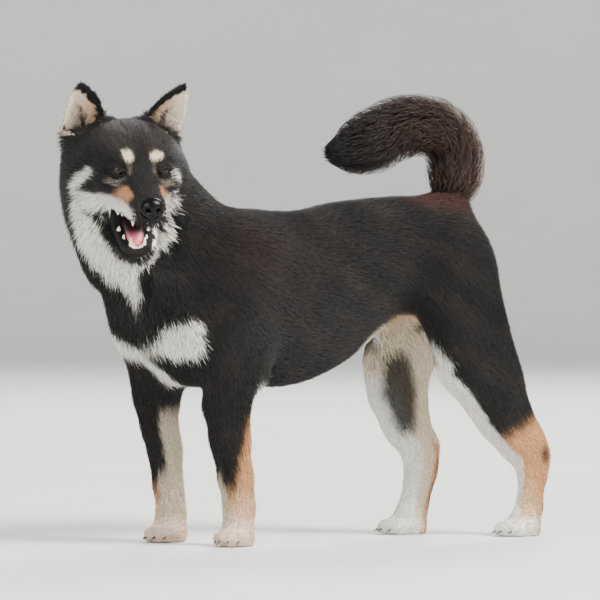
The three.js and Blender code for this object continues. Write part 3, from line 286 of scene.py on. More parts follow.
COAT_TABLE = [
    ("nape", "neck", "body", (-55, -160, 400), 34, (-0.2, 0.75, -0.75), 24, 7.38, 0.9, 1.5),
    ("neck_left", "neck", "body", (70, -170, 350), 34, (0.15, 0.45, -0.9), 22, 7.38, 0.9, 1.5),
    ("neck_right", "neck", "body", (-75, -200, 340), 34, (-0.2, 0.25, -1), 24, 8.2, 0.9, 1.5),
    ("neck_front", "neck", "body", (20, -255, 330), 30, (0.1, 0.05, -1), 25, 8.2, 0.9, 1.5),
    ("withers", "torso", "body", (0, -120, 374), 46, (0, 1, -0.1), 17.1, 4.76, 0.9, 1.53),
    ("back", "torso", "body", (0, 20, 372), 60, (0, 1, 0), 15.2, 3.74, 0.85, 1.53),
    ("loin", "torso", "body", (0, 110, 378), 50, (0, 1, 0), 15.2, 4.08, 0.85, 1.53),
    ("croup", "torso", "body", (0, 190, 385), 40, (0, 0.8, -0.5), 16.15, 4.42, 0.85, 1.53),
    ("chest_front", "chest", "body", (5, -235, 262), 36, (0, 0.3, -1), 26, 8.2, 0.95, 1.5),
    ("breast", "chest", "body", (10, -190, 205), 34, (0, 0.7, -0.7), 22, 6.56, 0.95, 1.57),
    ("chest_side", "chest", "both", (80, -185, 270), 34, (0.1, 0.55, -0.85), 20, 6.56, 0.9, 1.5),
    ("shoulder", "torso", "both", (95, -130, 300), 44, (0, 0.6, -0.8), 14.25, 3.74, 0.85, 1.53),
    ("ribs", "torso", "both", (85, -30, 290), 56, (0, 0.93, -0.36), 14.25, 3.74, 0.85, 1.53),
    ("loin_side", "torso", "both", (72, 80, 310), 50, (0, 0.93, -0.3), 14.25, 3.74, 0.85, 1.53),
    ("brisket", "torso", "both", (30, -60, 190), 50, (0, 1, -0.1), 15.2, 4.08, 0.9, 1.6),
    ("belly", "torso", "both", (25, 50, 218), 44, (0, 1, 0.05), 16.15, 4.08, 0.9, 1.6),
    ("flank_fold", "thigh", "both", (48, 120, 246), 26, (0, 0.5, -0.85), 22.8, 6.12, 0.85, 1.46),
    ("groin", "thigh", "body", (0, 150, 245), 26, (0, 0.3, -0.95), 19, 4.76, 0.85, 1.53),
    ("thigh", "thigh", "both", (82, 185, 280), 46, (0, 0.5, -0.87), 14.25, 3.74, 0.85, 1.46),
    ("buttock", "thigh", "both", (44, 262, 270), 38, (0, 0.25, -1), 22.8, 5.44, 0.95, 1.46),
    ("nose_bridge", "face", "head", (0, -82, -4), 10, (0, 1, 0.2), 3.78, 0.88, 0.51, 0.97),
    ("nose_rim", "face", "head", (0, -101, -14), 8, (0, 1, 0.1), 2.7, 0.64, 0.44, 0.84),
    ("muzzle_side", "face", "head2", (18, -78, -22), 12, (0.25, 1, -0.12), 4.32, 1.04, 0.54, 0.97),
    ("lip_edge", "face", "head2", (20, -70, -34), 10, (0.3, 0.9, -0.3), 4.5, 1.04, 0.54, 0.97),
    ("stop", "face", "head", (0, -56, 14), 10, (0, 0.5, 0.87), 4.5, 1.2, 0.54, 1.01),
    ("brow_spot", "face", "head2", (16, -53, 21), 8, (0.25, 0.35, 0.9), 4.95, 1.76, 0.54, 0.97),
    ("forehead", "face", "head", (0, -30, 38), 18, (0, 0.85, 0.45), 6.3, 1.76, 0.65, 1.09),
    ("crown", "head", "head", (0, 10, 48), 24, (0, 1, 0), 7.02, 2.29, 0.62, 1.08),
    ("temple", "head", "head2", (46, -14, 14), 18, (0.35, 0.9, 0.05), 7.02, 2.63, 0.62, 1.08),
    ("under_eye", "face", "head2", (28, -53, -10), 10, (0.5, 0.8, -0.25), 4.95, 1.28, 0.58, 1.01),
    ("cheek_patch", "face", "head2", (54, -28, -10), 12, (0.6, 0.8, 0.15), 9, 2.88, 0.68, 1.18),
    ("cheek", "head", "head2", (56, -16, -36), 18, (0.4, 0.85, -0.5), 10.53, 4, 0.67, 1.16),
    ("cheek_ruff", "head", "head2", (64, 14, -62), 24, (0.45, 0.55, -0.8), 17.55, 7.22, 0.84, 1.3),
    ("ruff_back", "head", "head2", (58, 46, -30), 26, (0.2, 0.7, -0.7), 16.83, 7.22, 0.84, 1.37),
    ("below_ear", "head", "head2", (64, 24, 2), 18, (0.3, 0.75, -0.5), 10.53, 4, 0.73, 1.16),
    ("head_back", "head", "head", (0, 56, 20), 28, (0, 0.75, -0.7), 12.6, 5.44, 0.84, 1.37),
    ("lower_lip", "face", "head2", (20, -58, -80), 10, (0.3, 0.9, -0.4), 5.4, 1.28, 0.62, 1.05),
    ("chin", "face", "head", (0, -74, -104), 12, (0, 0.95, -0.4), 7.2, 2.08, 0.68, 1.18),
    ("jaw_side", "head", "head2", (30, -32, -84), 14, (0.35, 0.8, -0.6), 9.09, 3.31, 0.67, 1.16),
    ("throat", "head", "head", (0, -52, -128), 22, (0, 0.4, -0.9), 15.48, 6.12, 0.9, 1.37),
]

# Length, depth, width and spacing on the ears, on the paws and at the foot of a leg, and what the last gain
# on the way up from LEG_FOOT by LEG_RISE
EAR_FACTS = (4.4, 0.7, 0.62, 1.02)
PAW_FACTS = (4.2, 1.0, 0.68, 1.06)
LEG_FACTS = (6, 1.4, 0.74, 1.36)
LEG_GAIN = (7, 1.7, 0.16, 0.22)
LEG_FOOT = 30
LEG_RISE = 130
EAR_LIE = (0.15, 0.1, 1)
TOE_HEIGHT = 10.0
TOE_AHEAD = 16
TOE_REACH = 15


def coat_rows():
    """Every row of the coat table in the stand's frame, with the legs' rows made along their lines."""
    rows = []
    for _, piece, where, place, reach, lie, *facts in COAT_TABLE:
        for side in (LEFT, RIGHT) if where in ("both", "head2") else (LEFT,):
            at = np.array(place, float) * [side, 1, 1]
            way = np.array(lie, float) * [side, 1, 1]
            if where in ("head", "head2"):
                at, way = from_head(at), way @ HEAD_AXES.T
            rows.append((piece, at, reach, way, facts))
    for piece, lines in (("forelegs", FORE_LINE), ("hindlegs", HIND_LINE)):
        for side in (LEFT, RIGHT):
            line = np.array(lines[side], float)
            for a, b in zip(line[:-1], line[1:]):
                middle = (a + b) / 2
                way = b[:3] - a[:3]
                way /= np.linalg.norm(way)
                share = np.clip((middle[2] - LEG_FOOT) / LEG_RISE, 0, 1)
                facts = [low + gain * share for low, gain in zip(LEG_FACTS, LEG_GAIN)]
                rows.append((piece, middle[:3], middle[3] * 0.9 + 6, way, facts))
    for paws in (FORE_PAWS, HIND_PAWS):
        for side in (LEFT, RIGHT):
            (x, y), turn = paws[side]
            ahead = np.array([math.sin(math.radians(turn)), -math.cos(math.radians(turn)), 0])
            at = np.array([x, y, TOE_HEIGHT]) + ahead * TOE_AHEAD
            rows.append(("paws", at, TOE_REACH, ahead * 0.9 - [0, 0, 0.35], PAW_FACTS))
    return rows


def coat_facts(points):
    """At each point: the number of its coat row, its lie, and its length, depth, width and spacing."""
    rows = coat_rows()
    places = np.array([row[1] for row in rows])
    reaches = np.array([row[2] for row in rows], float)
    lies = np.array([row[3] for row in rows])
    facts = np.array([row[4] for row in rows], float)
    weight = np.zeros((len(points), len(rows)), np.float32)
    for i, (place, reach) in enumerate(zip(places, reaches)):
        near = np.linalg.norm(points - place, axis=1) / reach
        weight[:, i] = np.exp(-0.5 * near ** 2) + 1e-4 / (1 + near ** 4)
    chosen = weight.argmax(axis=1)
    weight /= weight.sum(axis=1, keepdims=True)
    lie = weight @ lies
    fact = weight @ facts
    head = to_head(points)
    for side in (LEFT, RIGHT):
        t, _, _, _ = ear_places(head, side)
        on_ear = ramp(0.05, 0.3, t) * (head[:, 2] > 40) * (head[:, 0] * side > 10)
        way = np.array(EAR_LIE) * [side, 1, 1] @ HEAD_AXES.T
        lie += on_ear[:, None] * (way - lie)
        fact += on_ear[:, None] * (np.array(EAR_FACTS) - fact)
        chosen[on_ear > 0.5] = len(rows)
    names = [row[0] for row in rows] + ["ears"]
    return names, chosen, lie, fact


# Markings. A path is [x, y, z, radius] points, and a patch is a centre and radii.
# On the body: the chest patches, joined low on the breast, and the stripe down the throat, each with the
# width of its border

CHEST_WHITE = [
    ([(42, -200, 232, 8), (64, -186, 240, 14), (90, -170, 250, 11)], 3),
    ([(50, -194, 226, 10), (68, -180, 226, 13), (86, -168, 230, 13)], 3),
    ([(40, -198, 228, 7), (14, -203, 226, 9), (-12, -207, 228, 17), (-44, -212, 238, 20)], 3),
    ([(2, -200, 220, 10), (12, -182, 204, 13), (0, -150, 186, 10)], 3),
    ([(51, -222, 297, 11), (49, -220, 286, 8), (46, -218, 272, 4.5), (43, -217, 261, 2.5)], 2.5),
]
CROUP_RUFOUS = ((8, 186, 392), (46, 52, 26))
SHOULDER_RUFOUS = ((95, -40, 350), (40, 90, 50))

# On the head: the white paths of each side's muzzle, cheek and jaw, the patch outside each eye, and the chin
# with the top of the throat
WHITE_FACE = [
    [(-14, -96, -30, 9), (-27, -66, -30, 10), (-36, -42, -32, 10), (-50, -26, -36, 12), (-53, -14, -52, 15),
     (-47, -12, -72, 14), (-38, -24, -88, 13), (-24, -38, -99, 13), (-10, -48, -106, 14)],
    [(-46, -20, -46, 7), (-38, -20, -62, 11), (-32, -28, -76, 11), (-22, -38, -90, 10)],
    [(-14, -44, -96, 8), (-3, -54, -97, 9), (8, -62, -94, 8), (16, -60, -86, 7)],
    [(29, -44, -40, 8), (27, -46, -60, 6)],
    [(-63, -13, -30, 6.5), (-60, -21, -15, 7), (-51, -31, -3, 5.5)],
    [(14, -96, -30, 9), (27, -66, -28, 11), (38, -46, -26, 10), (47, -33, -34, 8), (40, -40, -46, 6.5),
     (31, -47, -55, 5.5), (25, -54, -66, 6), (16, -62, -84, 7), (6, -64, -98, 9)],
    [(47, -38, -16, 6.5), (42, -47, -3, 6), (40, -46, 6, 4.5)],
    [(-3, -78, -106, 11), (-4, -56, -108, 12), (-2, -57, -118, 10), (0, -58, -128, 7)],
]
FOREHEAD_TICKING = ((0, -16, 40), (46, 40, 22))
FOREHEAD_BLACK = [(0, -44, 34, 8), (0, -20, 46, 10)]
NOSE_STRIPE = [(0, -104, -8, 5.5), (0, -84, -2, 6.5), (0, -62, 8, 8), (0, -46, 20, 9)]

# On the left half of the face, and mirrored on the right
UNDER_EYE_BLACK = [(28, -56, -9, 4), (40, -46, -12, 6), (50, -32, -17, 4.5)]
UNDER_EYE_PALE = [(15, -57, -2, 3), (24, -57, -7, 3), (33, -50, -6, 3)]
EYE_CORNER_PALE = [(13, -58, 7, 3), (14, -55, 15, 3)]
MUZZLE_TAN = ((19, -74, -13), (9, 17, 6))
LIP_TAN = ((22, -68, -20), (9, 20, 7))
BROW_SPOT = ((16.5, -52, 21.5), (6.4, 8, 5.6))

# On the left legs and groin, and mirrored on the right
KNEE_WHITE = [(28, 138, 240, 11), (50, 151, 228, 9), (64, 166, 203, 8)]
FLANK_CREAM = [(24, 82, 218, 12), (30, 100, 234, 13), (20, 126, 248, 11), (8, 150, 249, 12)]
GROIN_CREAM = [(10, 140, 234, 27), (20, 160, 206, 27)]
GROIN_TAN = ((16, 130, 256), (20, 30, 8))

# On one thigh alone: the right one's pale front and dark inside, and the left hock's dark spot
THIGH_FRONT_CREAM = [(-46, 124, 220, 13), (-46, 130, 204, 13)]
THIGH_INNER_CREAM = [(-18, 180, 226, 18), (-20, 190, 206, 16)]
THIGH_INNER_BLACK = [(-22, 152, 204, 17), (-26, 158, 172, 21), (-30, 168, 134, 12)]
HOCK_SPOT = ((60, 296, 99), (15, 8, 10))

FORE_FACING = math.radians(22)
FORELEG_TOP = 196
HINDLEG_TOP = 206
HOCK_HEIGHT = 130
PAW_REACH = 52
HEAD_MIDDLE = [0, 0, -30]
HEAD_REACH = 125
HEAD_HALF = 95

# How high the foreleg's tan rises, from its back to its front
TAN_FORWARD = (-0.9, -0.2, 0.4, 0.9)
TAN_HEIGHT = (160, 140, 100, 66)


def colour(rgb):
    """A plain colour of 0 to 255 screen values as linear light."""
    c = np.array(rgb, float) / 255
    return np.where(c <= 0.04045, c / 12.92, ((c + 0.055) / 1.055) ** 2.4)


# Painted shade for the deep hollow inside each ear
EAR_HOLLOW_SHADE = colour((52, 30, 26))
BARE_SKIN = colour((15, 11, 12))


def mirrored(path, side):
    """A path given on the left, on one side."""
    return np.array(path, float) * [side, 1, 1, 1]


def mirrored_patch(patch, side):
    """A patch given on the left, on one side."""
    centre, radii = patch
    return np.array(centre, float) * [side, 1, 1], radii


def paint_trunk(paint, points, fleck, tones):
    """Ticking and a rufous tinge over the black, and the white of the chest and throat."""
    broad = 0.5 + 0.5 * ripple(points, 46, 22)
    paint(0.55 * fleck * broad, tones["ticking"])
    paint(0.6 * blob(points, *CROUP_RUFOUS, 0.5) * (0.4 + fleck), tones["rufous"])
    paint(0.3 * blob(points, *SHOULDER_RUFOUS, 0.6) * fleck, tones["rufous"])
    for path, border in CHEST_WHITE:
        paint(strip(points, path, border), tones["white"])


def paint_head(face, head, fleck, tones):
    """The forehead, cheeks, muzzle, chin and brow spots."""
    black, tan, cream = tones["black"], tones["tan"], tones["cream"]
    x, _, z = head.T
    face(0.55 * blob(head, *FOREHEAD_TICKING, 0.5) * (0.3 + fleck), tones["ticking"] * 1.7)
    face(0.7 * strip(head, FOREHEAD_BLACK, 5), black)
    for path in WHITE_FACE:
        face(strip(head, path, 2.2), tones["white"])
    lips = (1 - ramp(LIP_BAND - 1.5, LIP_BAND + 1.5, mouth_gap(head))) * (x < 20) * (x > -50)
    face(lips * (z < -44), black)
    for side in (LEFT, RIGHT):
        face(0.95 * strip(head, mirrored(UNDER_EYE_BLACK, side), 2), black)
        face(0.5 * strip(head, mirrored(UNDER_EYE_PALE, side), 2.5) * (0.25 + 0.75 * fleck), cream * 0.7)
        face(0.85 * blob(head, *mirrored_patch(MUZZLE_TAN, side), 0.35), tan)
        face(0.45 * blob(head, *mirrored_patch(LIP_TAN, side), 0.5), tan)
        face(0.35 * strip(head, mirrored(EYE_CORNER_PALE, side), 2) * fleck, cream * 0.6)
        face(blob(head, *mirrored_patch(BROW_SPOT, side), 0.22), cream)
    face(strip(head, NOSE_STRIPE, 2), black * 1.6)


def paint_foreleg(paint, points, side, tones):
    """Tan up the front of a foreleg, paler below and inside, white behind it and on the toes."""
    tan, cream, white = tones["tan"], tones["cream"], tones["white"]
    height, forward, leftward, near = leg_places(points, FORE_LINE[side], FORE_FACING)
    outward = leftward * side
    on_leg = (near < 1.5) & (height < FORELEG_TOP) & (points[:, 1] < 0)
    edge = np.interp(forward, TAN_FORWARD, TAN_HEIGHT)
    lower = on_leg * (1 - ramp(-24, 16, height - edge))
    paint(lower, tan)
    paint(0.65 * lower * (1 - ramp(16, 84, height)), cream)
    inner = ramp(-0.1, 0.25, -outward) * (1 - ramp(146, 166, height))
    paint(on_leg * inner * (1 - ramp(0.62, 0.86, forward) * ramp(72, 92, height)), 0.75 * cream)
    paint(on_leg * ramp(0.68, 0.86, -forward) * (1 - ramp(176, 192, height)), white)
    paint(0.6 * on_leg * (1 - ramp(4, 15, height)), white)
    foot = near_paw(points, FORE_PAWS[side])
    paint(foot * (1 - ramp(24, 38, height)), 0.5 * tan + 0.5 * white)


def near_paw(points, paw):
    """True within a paw's reach, seen from above."""
    (x, y), _ = paw
    return np.hypot(points[:, 0] - x, points[:, 1] - y) < PAW_REACH


def paint_hindleg(paint, points, side, tones):
    """Tan below the hock, white down the front, cream inside, and the pale groin above it."""
    black, tan, cream, white = tones["black"], tones["tan"], tones["cream"], tones["white"]
    height, forward, leftward, near = leg_places(points, HIND_LINE[side], 0.0)
    outward = leftward * side
    on_leg = (near < 2.3) & (points[:, 1] > 60) & (height < HINDLEG_TOP) & (points[:, 0] * side > 4)
    low = on_leg * (1 - ramp(-9, 9, height - HOCK_HEIGHT + 10 * forward))
    paint(low, tan)
    paint(0.5 * low * (1 - ramp(14, 72, height - 20 * forward)), cream)
    frontal = 0.85 * forward - 0.5 * outward
    paint(on_leg * ramp(0.3, 0.55, -outward) * (1 - ramp(0.3, 0.7, -forward) * (height < 110)), cream)
    paint(on_leg * ramp(0.66, 0.84, frontal), white)
    paint(on_leg * ramp(0.3, 0.55, forward) * ramp(-0.2, 0.05, -outward), white)
    behind = 0.9 * on_leg * ramp(0.62, 0.8, -forward) * ramp(14, 30, height)
    paint(behind * (1 - ramp(86, 98, height)) * (1 - ramp(0.45, 0.7, np.abs(outward))), black * 1.5)
    foot = near_paw(points, HIND_PAWS[side])
    paint(foot * (1 - ramp(16, 30, height)) * ramp(-1.0, 0.2, forward), white)
    paint(strip(points, mirrored(KNEE_WHITE, side), 3), white)
    paint(strip(points, mirrored(FLANK_CREAM, side), 4), cream)
    paint(strip(points, mirrored(GROIN_CREAM, side), 5), cream)
    paint(0.55 * blob(points, *mirrored_patch(GROIN_TAN, side), 0.4), tan)


def paint_thighs(paint, points, tones):
    """The patches that only one hind leg has."""
    black, cream = tones["black"], tones["cream"]
    paint(strip(points, THIGH_FRONT_CREAM, 4), cream)
    paint(strip(points, THIGH_INNER_CREAM, 4), cream)
    paint(0.92 * strip(points, THIGH_INNER_BLACK, 8), black * 1.2)
    paint(0.8 * blob(points, *HOCK_SPOT, 0.4), black * 1.6)


def paint_tail(paint, points, fleck, tones):
    """Brown-black, reddish from its root to its middle and near black at its tip."""
    along = tail_share(points)
    on_tail = along > 0.05
    paint(on_tail * 1.0, tones["tail"])
    paint(on_tail * 0.26 * (1 - ramp(0.3, 0.7, along)) * (0.3 + fleck), tones["rufous"])
    paint(on_tail * ramp(0.68, 0.86, along) * 0.8, tones["black"] * 1.3)


def paint_ear(paint, head, normals, side, tones):
    """Black behind an ear and along its rims, cream inside, tan at its inner corner, and painted shade in its
    hollow.
    """
    t, u, deep, front = ear_places(head, side)
    facing = normals @ (front @ HEAD_AXES.T)
    beside = (np.abs(u) < 1.3) & (head[:, 0] * side > 8)
    on_ear = (t > -0.3) & (head[:, 2] > 12) & beside & (deep > -24) & (deep < 7)
    inside = on_ear * ramp(-0.05, 0.25, facing) * (1 - ramp(0.64, 0.78, np.abs(u))) * (deep < 3)
    inside = inside * (1 - ramp(0.74, 0.84, t)) * ramp(-0.24, -0.16, t)
    paint(on_ear * ramp(-0.1, 0.1, t), tones["black"])
    paint(inside, tones["cream"])
    paint(inside * 0.75 * (1 - ramp(0.35, 0.6, t)) * ramp(0.25, 0.6, -u), tones["tan"])
    # Painted shade in the ear's hollow, laid over the cream
    hollow = np.stack([u, t, np.zeros(len(t))], axis=1)
    paint(inside * 0.85 * blob(hollow, (-0.12, 0.06, 0), (0.13, 0.3, 1), 0.4), EAR_HOLLOW_SHADE)


def bare_skin(head, on_head):
    """1 on the lips, in the room of the mouth and on the rims of the eyes."""
    x = head[:, 0]
    gap = mouth_gap(head) + 40 * ramp(FAR_CHEEK - 2, FAR_CHEEK + 2, x)
    bare = (1 - ramp(0.6, 2.4, gap)) * (x > MOUTH_MIDDLE - 44) * on_head
    for side in (LEFT, RIGHT):
        _, _, w, edge = eye_places(head, side)
        bare = np.maximum(bare, (1 - ramp(1.15, 1.5, edge)) * (w > 0) * on_head)
    return bare


def markings(points, normals):
    """The coat's colour at each place, as linear light."""
    coat = bpy.context.scene.shiba_coat
    names = ("black", "ticking", "rufous", "tan", "cream", "white", "tail")
    tones = {name: np.array(getattr(coat, name)[:3]) for name in names}
    points = points + 1.6 * np.stack([ripple(points, 9, s) for s in (11, 12, 13)], axis=1)
    head = to_head(points)
    on_head = (np.linalg.norm(head - HEAD_MIDDLE, axis=1) < HEAD_REACH) & (np.abs(head[:, 0]) < HEAD_HALF)
    fleck = 0.5 + 0.5 * ripple(points, 5, 21)
    out = np.tile(tones["black"], (len(points), 1))

    def paint(mask, shade):
        out[:] += np.clip(mask, 0, 1)[:, None] * (shade - out)

    def face(mask, shade):
        paint(mask * on_head, shade)

    paint_trunk(paint, points, fleck, tones)
    paint_head(face, head, fleck, tones)
    for side in (LEFT, RIGHT):
        paint_foreleg(paint, points, side, tones)
        paint_hindleg(paint, points, side, tones)
    paint_thighs(paint, points, tones)
    paint_tail(paint, points, fleck, tones)
    for side in (LEFT, RIGHT):
        paint_ear(paint, head, normals, side, tones)
    paint(bare_skin(head, on_head), BARE_SKIN)
    return out


def tail_curve(count=200):
    """Finely spaced points of the tail's line: places, flesh radii and brush reaches."""
    rows = np.array(TAIL_LINE, float)
    last = len(rows) - 1
    out = []
    for i in range(last):
        p = [rows[max(0, i - 1)], rows[i], rows[i + 1], rows[min(last, i + 2)]]
        for t in np.linspace(0, 1, count // last, endpoint=False):
            out.append(0.5 * (2 * p[1] + (p[2] - p[0]) * t + (2 * p[0] - 5 * p[1] + 4 * p[2] - p[3]) * t ** 2
                              + (3 * p[1] - p[0] - 3 * p[2] + p[3]) * t ** 3))
    out.append(rows[-1])
    return np.array(out)


def tail_share(points):
    """How far along the tail each point lies, 0 at its root and 1 at its tip, or -1 far from it."""
    line = tail_curve(64)
    best = np.full(len(points), 1e9)
    share = np.zeros(len(points))
    for i, row in enumerate(line):
        far = np.linalg.norm(points - row[:3], axis=1)
        nearer = far < best
        best[nearer] = far[nearer]
        share[nearer] = i / (len(line) - 1)
    return np.where((best < 42) & (points[:, 2] > 400), share, -1)


# Mesh helpers

SAME_POINT = 0.00002


def nothing_selected():
    """Leaves no object selected, so that an operator acts only on what is chosen next."""
    bpy.ops.object.select_all(action="DESELECT")


def choose(piece):
    """Selects one piece alone and makes it active."""
    nothing_selected()
    piece.select_set(True)
    bpy.context.view_layer.objects.active = piece


def new_piece(name, mesh):
    """A piece in the scene at the origin."""
    piece = bpy.data.objects.new(name, mesh)
    bpy.context.scene.collection.objects.link(piece)
    return piece


def points_of(mesh):
    """A mesh's vertices as an array."""
    co = np.zeros(len(mesh.vertices) * 3)
    mesh.vertices.foreach_get("co", co)
    return co.reshape(-1, 3)


def move_points(mesh, co):
    """Puts a mesh's vertices at an array's places."""
    mesh.vertices.foreach_set("co", np.asarray(co, np.float32).ravel())
    mesh.update()


def normals_of(mesh):
    """A mesh's vertex normals as an array."""
    n = np.zeros(len(mesh.vertices) * 3)
    mesh.vertex_normals.foreach_get("vector", n)
    return n.reshape(-1, 3)


def edges_of(mesh):
    """A mesh's edges as an array of vertex pairs."""
    pairs = np.zeros(len(mesh.edges) * 2, np.int32)
    mesh.edges.foreach_get("vertices", pairs)
    return pairs.reshape(-1, 2)


def eased(values, pairs, share, rounds):
    """Values moved towards their neighbours' mean by a share for each, over some rounds."""
    count = len(values)
    links = np.bincount(pairs.ravel(), minlength=count)[:, None].clip(1)
    for _ in range(rounds):
        total = np.zeros_like(values)
        for axis in range(values.shape[1]):
            total[:, axis] = (np.bincount(pairs[:, 0], values[pairs[:, 1], axis], count)
                              + np.bincount(pairs[:, 1], values[pairs[:, 0], axis], count))
        values = values + share[:, None] * (total / links - values)
    return values


def apply_modifier(piece, kind, **settings):
    """Adds one modifier with its settings and applies it."""
    choose(piece)
    modifier = piece.modifiers.new(kind, kind)
    for key, value in settings.items():
        setattr(modifier, key, value)
    bpy.ops.object.modifier_apply(modifier=modifier.name)


def edit_whole(piece, operator, **settings):
    """Runs one edit-mode operator on the whole of a piece."""
    choose(piece)
    bpy.ops.object.mode_set(mode="EDIT")
    bpy.ops.mesh.select_all(action="SELECT")
    operator(**settings)
    bpy.ops.object.mode_set(mode="OBJECT")


def joined(name, pieces):
    """Several pieces as one, in the first one's object."""
    nothing_selected()
    for piece in pieces:
        piece.select_set(True)
    bpy.context.view_layer.objects.active = pieces[0]
    if len(pieces) > 1:
        bpy.ops.object.join()
    whole = bpy.context.view_layer.objects.active
    whole.name = name
    return whole


def merged_copy(name, nodes):
    """One piece made of copies of frame nodes, with each node's loose triangles merged."""
    copies = [new_piece(name, frame["nodes"][node].data.copy()) for node in nodes]
    for copy in copies:
        copy.data.materials.clear()
    piece = joined(name, copies)
    edit_whole(piece, bpy.ops.mesh.remove_doubles, threshold=SAME_POINT)
    return piece


def finish_piece(piece, material, body="root", nodes=()):
    """Gives a piece its material, shading and body, and hides the nodes that it stands for."""
    piece.data.materials.clear()
    piece.data.materials.append(material)
    choose(piece)
    bpy.ops.object.shade_smooth()
    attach(piece, body)
    if nodes:
        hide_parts(*nodes)
    return piece


# Materials

def new_material(name, roughness, **sockets):
    """A material with a Principled shader whose plain values are set on its own sockets."""
    material = bpy.data.materials.new(name)
    material.use_nodes = True
    shader = material.node_tree.nodes["Principled BSDF"]
    shader.inputs["Roughness"].default_value = roughness
    for key, value in sockets.items():
        shader.inputs[key.replace("_", " ")].default_value = value
    return material


def grain_group():
    """A node group that speckles a colour and gives a height, at a named size and strength."""
    name = "Hair Grain"
    if name in bpy.data.node_groups:
        return bpy.data.node_groups[name]
    group = bpy.data.node_groups.new(name, "ShaderNodeTree")
    sides = group.interface
    sides.new_socket("Colour", in_out="INPUT", socket_type="NodeSocketColor")
    for label, value in (("Scale", 400.0), ("Contrast", 0.3)):
        sides.new_socket(label, in_out="INPUT", socket_type="NodeSocketFloat").default_value = value
    sides.new_socket("Colour", in_out="OUTPUT", socket_type="NodeSocketColor")
    sides.new_socket("Height", in_out="OUTPUT", socket_type="NodeSocketFloat")
    nodes, links = group.nodes, group.links
    enter = nodes.new("NodeGroupInput")
    leave = nodes.new("NodeGroupOutput")
    where = nodes.new("ShaderNodeTexCoord")
    noise = nodes.new("ShaderNodeTexNoise")
    noise.inputs["Detail"].default_value = 3.0
    spread = nodes.new("ShaderNodeMapRange")
    spread.inputs["From Min"].default_value = 0.3
    spread.inputs["From Max"].default_value = 0.7
    low = nodes.new("ShaderNodeMath")
    low.operation = "SUBTRACT"
    low.inputs[0].default_value = 1.0
    high = nodes.new("ShaderNodeMath")
    high.operation = "ADD"
    high.inputs[0].default_value = 1.0
    scale = nodes.new("ShaderNodeVectorMath")
    scale.operation = "SCALE"
    links.new(where.outputs["Object"], noise.inputs["Vector"])
    links.new(enter.outputs["Scale"], noise.inputs["Scale"])
    links.new(noise.outputs["Fac"], spread.inputs["Value"])
    links.new(enter.outputs["Contrast"], low.inputs[1])
    links.new(enter.outputs["Contrast"], high.inputs[1])
    links.new(low.outputs[0], spread.inputs["To Min"])
    links.new(high.outputs[0], spread.inputs["To Max"])
    links.new(enter.outputs["Colour"], scale.inputs[0])
    links.new(spread.outputs["Result"], scale.inputs["Scale"])
    links.new(scale.outputs["Vector"], leave.inputs["Colour"])
    links.new(noise.outputs["Fac"], leave.inputs["Height"])
    return group


def grained(material, colour_source, scale, contrast, bump, bump_distance):
    """Puts the grain between a colour socket and the shader, with a bump from its height."""
    nodes, links = material.node_tree.nodes, material.node_tree.links
    shader = nodes["Principled BSDF"]
    grain = nodes.new("ShaderNodeGroup")
    grain.node_tree = grain_group()
    grain.inputs["Scale"].default_value = scale
    grain.inputs["Contrast"].default_value = contrast
    if isinstance(colour_source, bpy.types.NodeSocket):
        links.new(colour_source, grain.inputs["Colour"])
    else:
        grain.inputs["Colour"].default_value = (*colour_source, 1)
    links.new(grain.outputs["Colour"], shader.inputs["Base Color"])
    height = nodes.new("ShaderNodeBump")
    height.inputs["Strength"].default_value = bump
    height.inputs["Distance"].default_value = bump_distance
    links.new(grain.outputs["Height"], height.inputs["Height"])
    links.new(height.outputs["Normal"], shader.inputs["Normal"])
    return material


def attribute_colour(material, name):
    """The colour socket of a mesh attribute in a material."""
    node = material.node_tree.nodes.new("ShaderNodeAttribute")
    node.attribute_name = name
    return node.outputs["Color"]


def coat_material():
    """Hair: the markings, speckled finely, with a soft sheen."""
    name = "Shiba Coat"
    if name in bpy.data.materials:
        return bpy.data.materials[name]
    material = new_material(name, 0.6, Specular_IOR_Level=0.22, Sheen_Weight=0.03, Sheen_Roughness=0.4)
    return grained(material, attribute_colour(material, "Markings"), 520.0, 0.22, 0.15, 0.0004)


def skin_material():
    """Skin and short fur: the same markings, with a deeper bump."""
    name = "Shiba Skin"
    if name in bpy.data.materials:
        return bpy.data.materials[name]
    material = new_material(name, 0.7, Specular_IOR_Level=0.2, Sheen_Weight=0.02, Sheen_Roughness=0.5)
    return grained(material, attribute_colour(material, "Markings"), 700.0, 0.3, 0.4, 0.0008)


def write_colours(mesh, rgb):
    """Stores one linear colour a vertex as the Markings attribute."""
    layer = mesh.attributes.new("Markings", "FLOAT_COLOR", "POINT")
    flat = np.ones((len(rgb), 4), np.float32)
    flat[:, :3] = rgb
    layer.data.foreach_set("color", flat.ravel())


# Skin

FLESH = ["torso", "neck", "head", "jaw_lower", "ear_left", "ear_right", "foreleg_left", "foreleg_right",
         "hindleg_left", "hindleg_right", "paw_fore_left", "paw_fore_right", "paw_hind_left",
         "paw_hind_right"]
TAIL_NODES = ["tail_root", "tail_arch", "tail_tip"]
EYES = ["eye_left", "eye_right"]
SKIN_SWELL = 0.5
SKIN_VOXEL = 3.0
TAIL_FLESH_SHARE = 0.86
EAR_INSET = 0.4
EYE_SPLITS = (22, 16)


def tail_core():
    """The tail's flesh as a tapered tube along its line."""
    line = tail_curve(40)
    curve = bpy.data.curves.new("tail_core", "CURVE")
    curve.dimensions = "3D"
    curve.bevel_depth = 1.0 * MM
    curve.bevel_resolution = 4
    curve.use_fill_caps = True
    spline = curve.splines.new("POLY")
    spline.points.add(len(line) - 1)
    for point, row in zip(spline.points, line):
        point.co = (*to_row(row[:3]), 1)
        point.radius = row[3] * TAIL_FLESH_SHARE
    piece = new_piece("tail_core", curve)
    choose(piece)
    bpy.ops.object.convert(target="MESH")
    return bpy.context.view_layer.objects.active


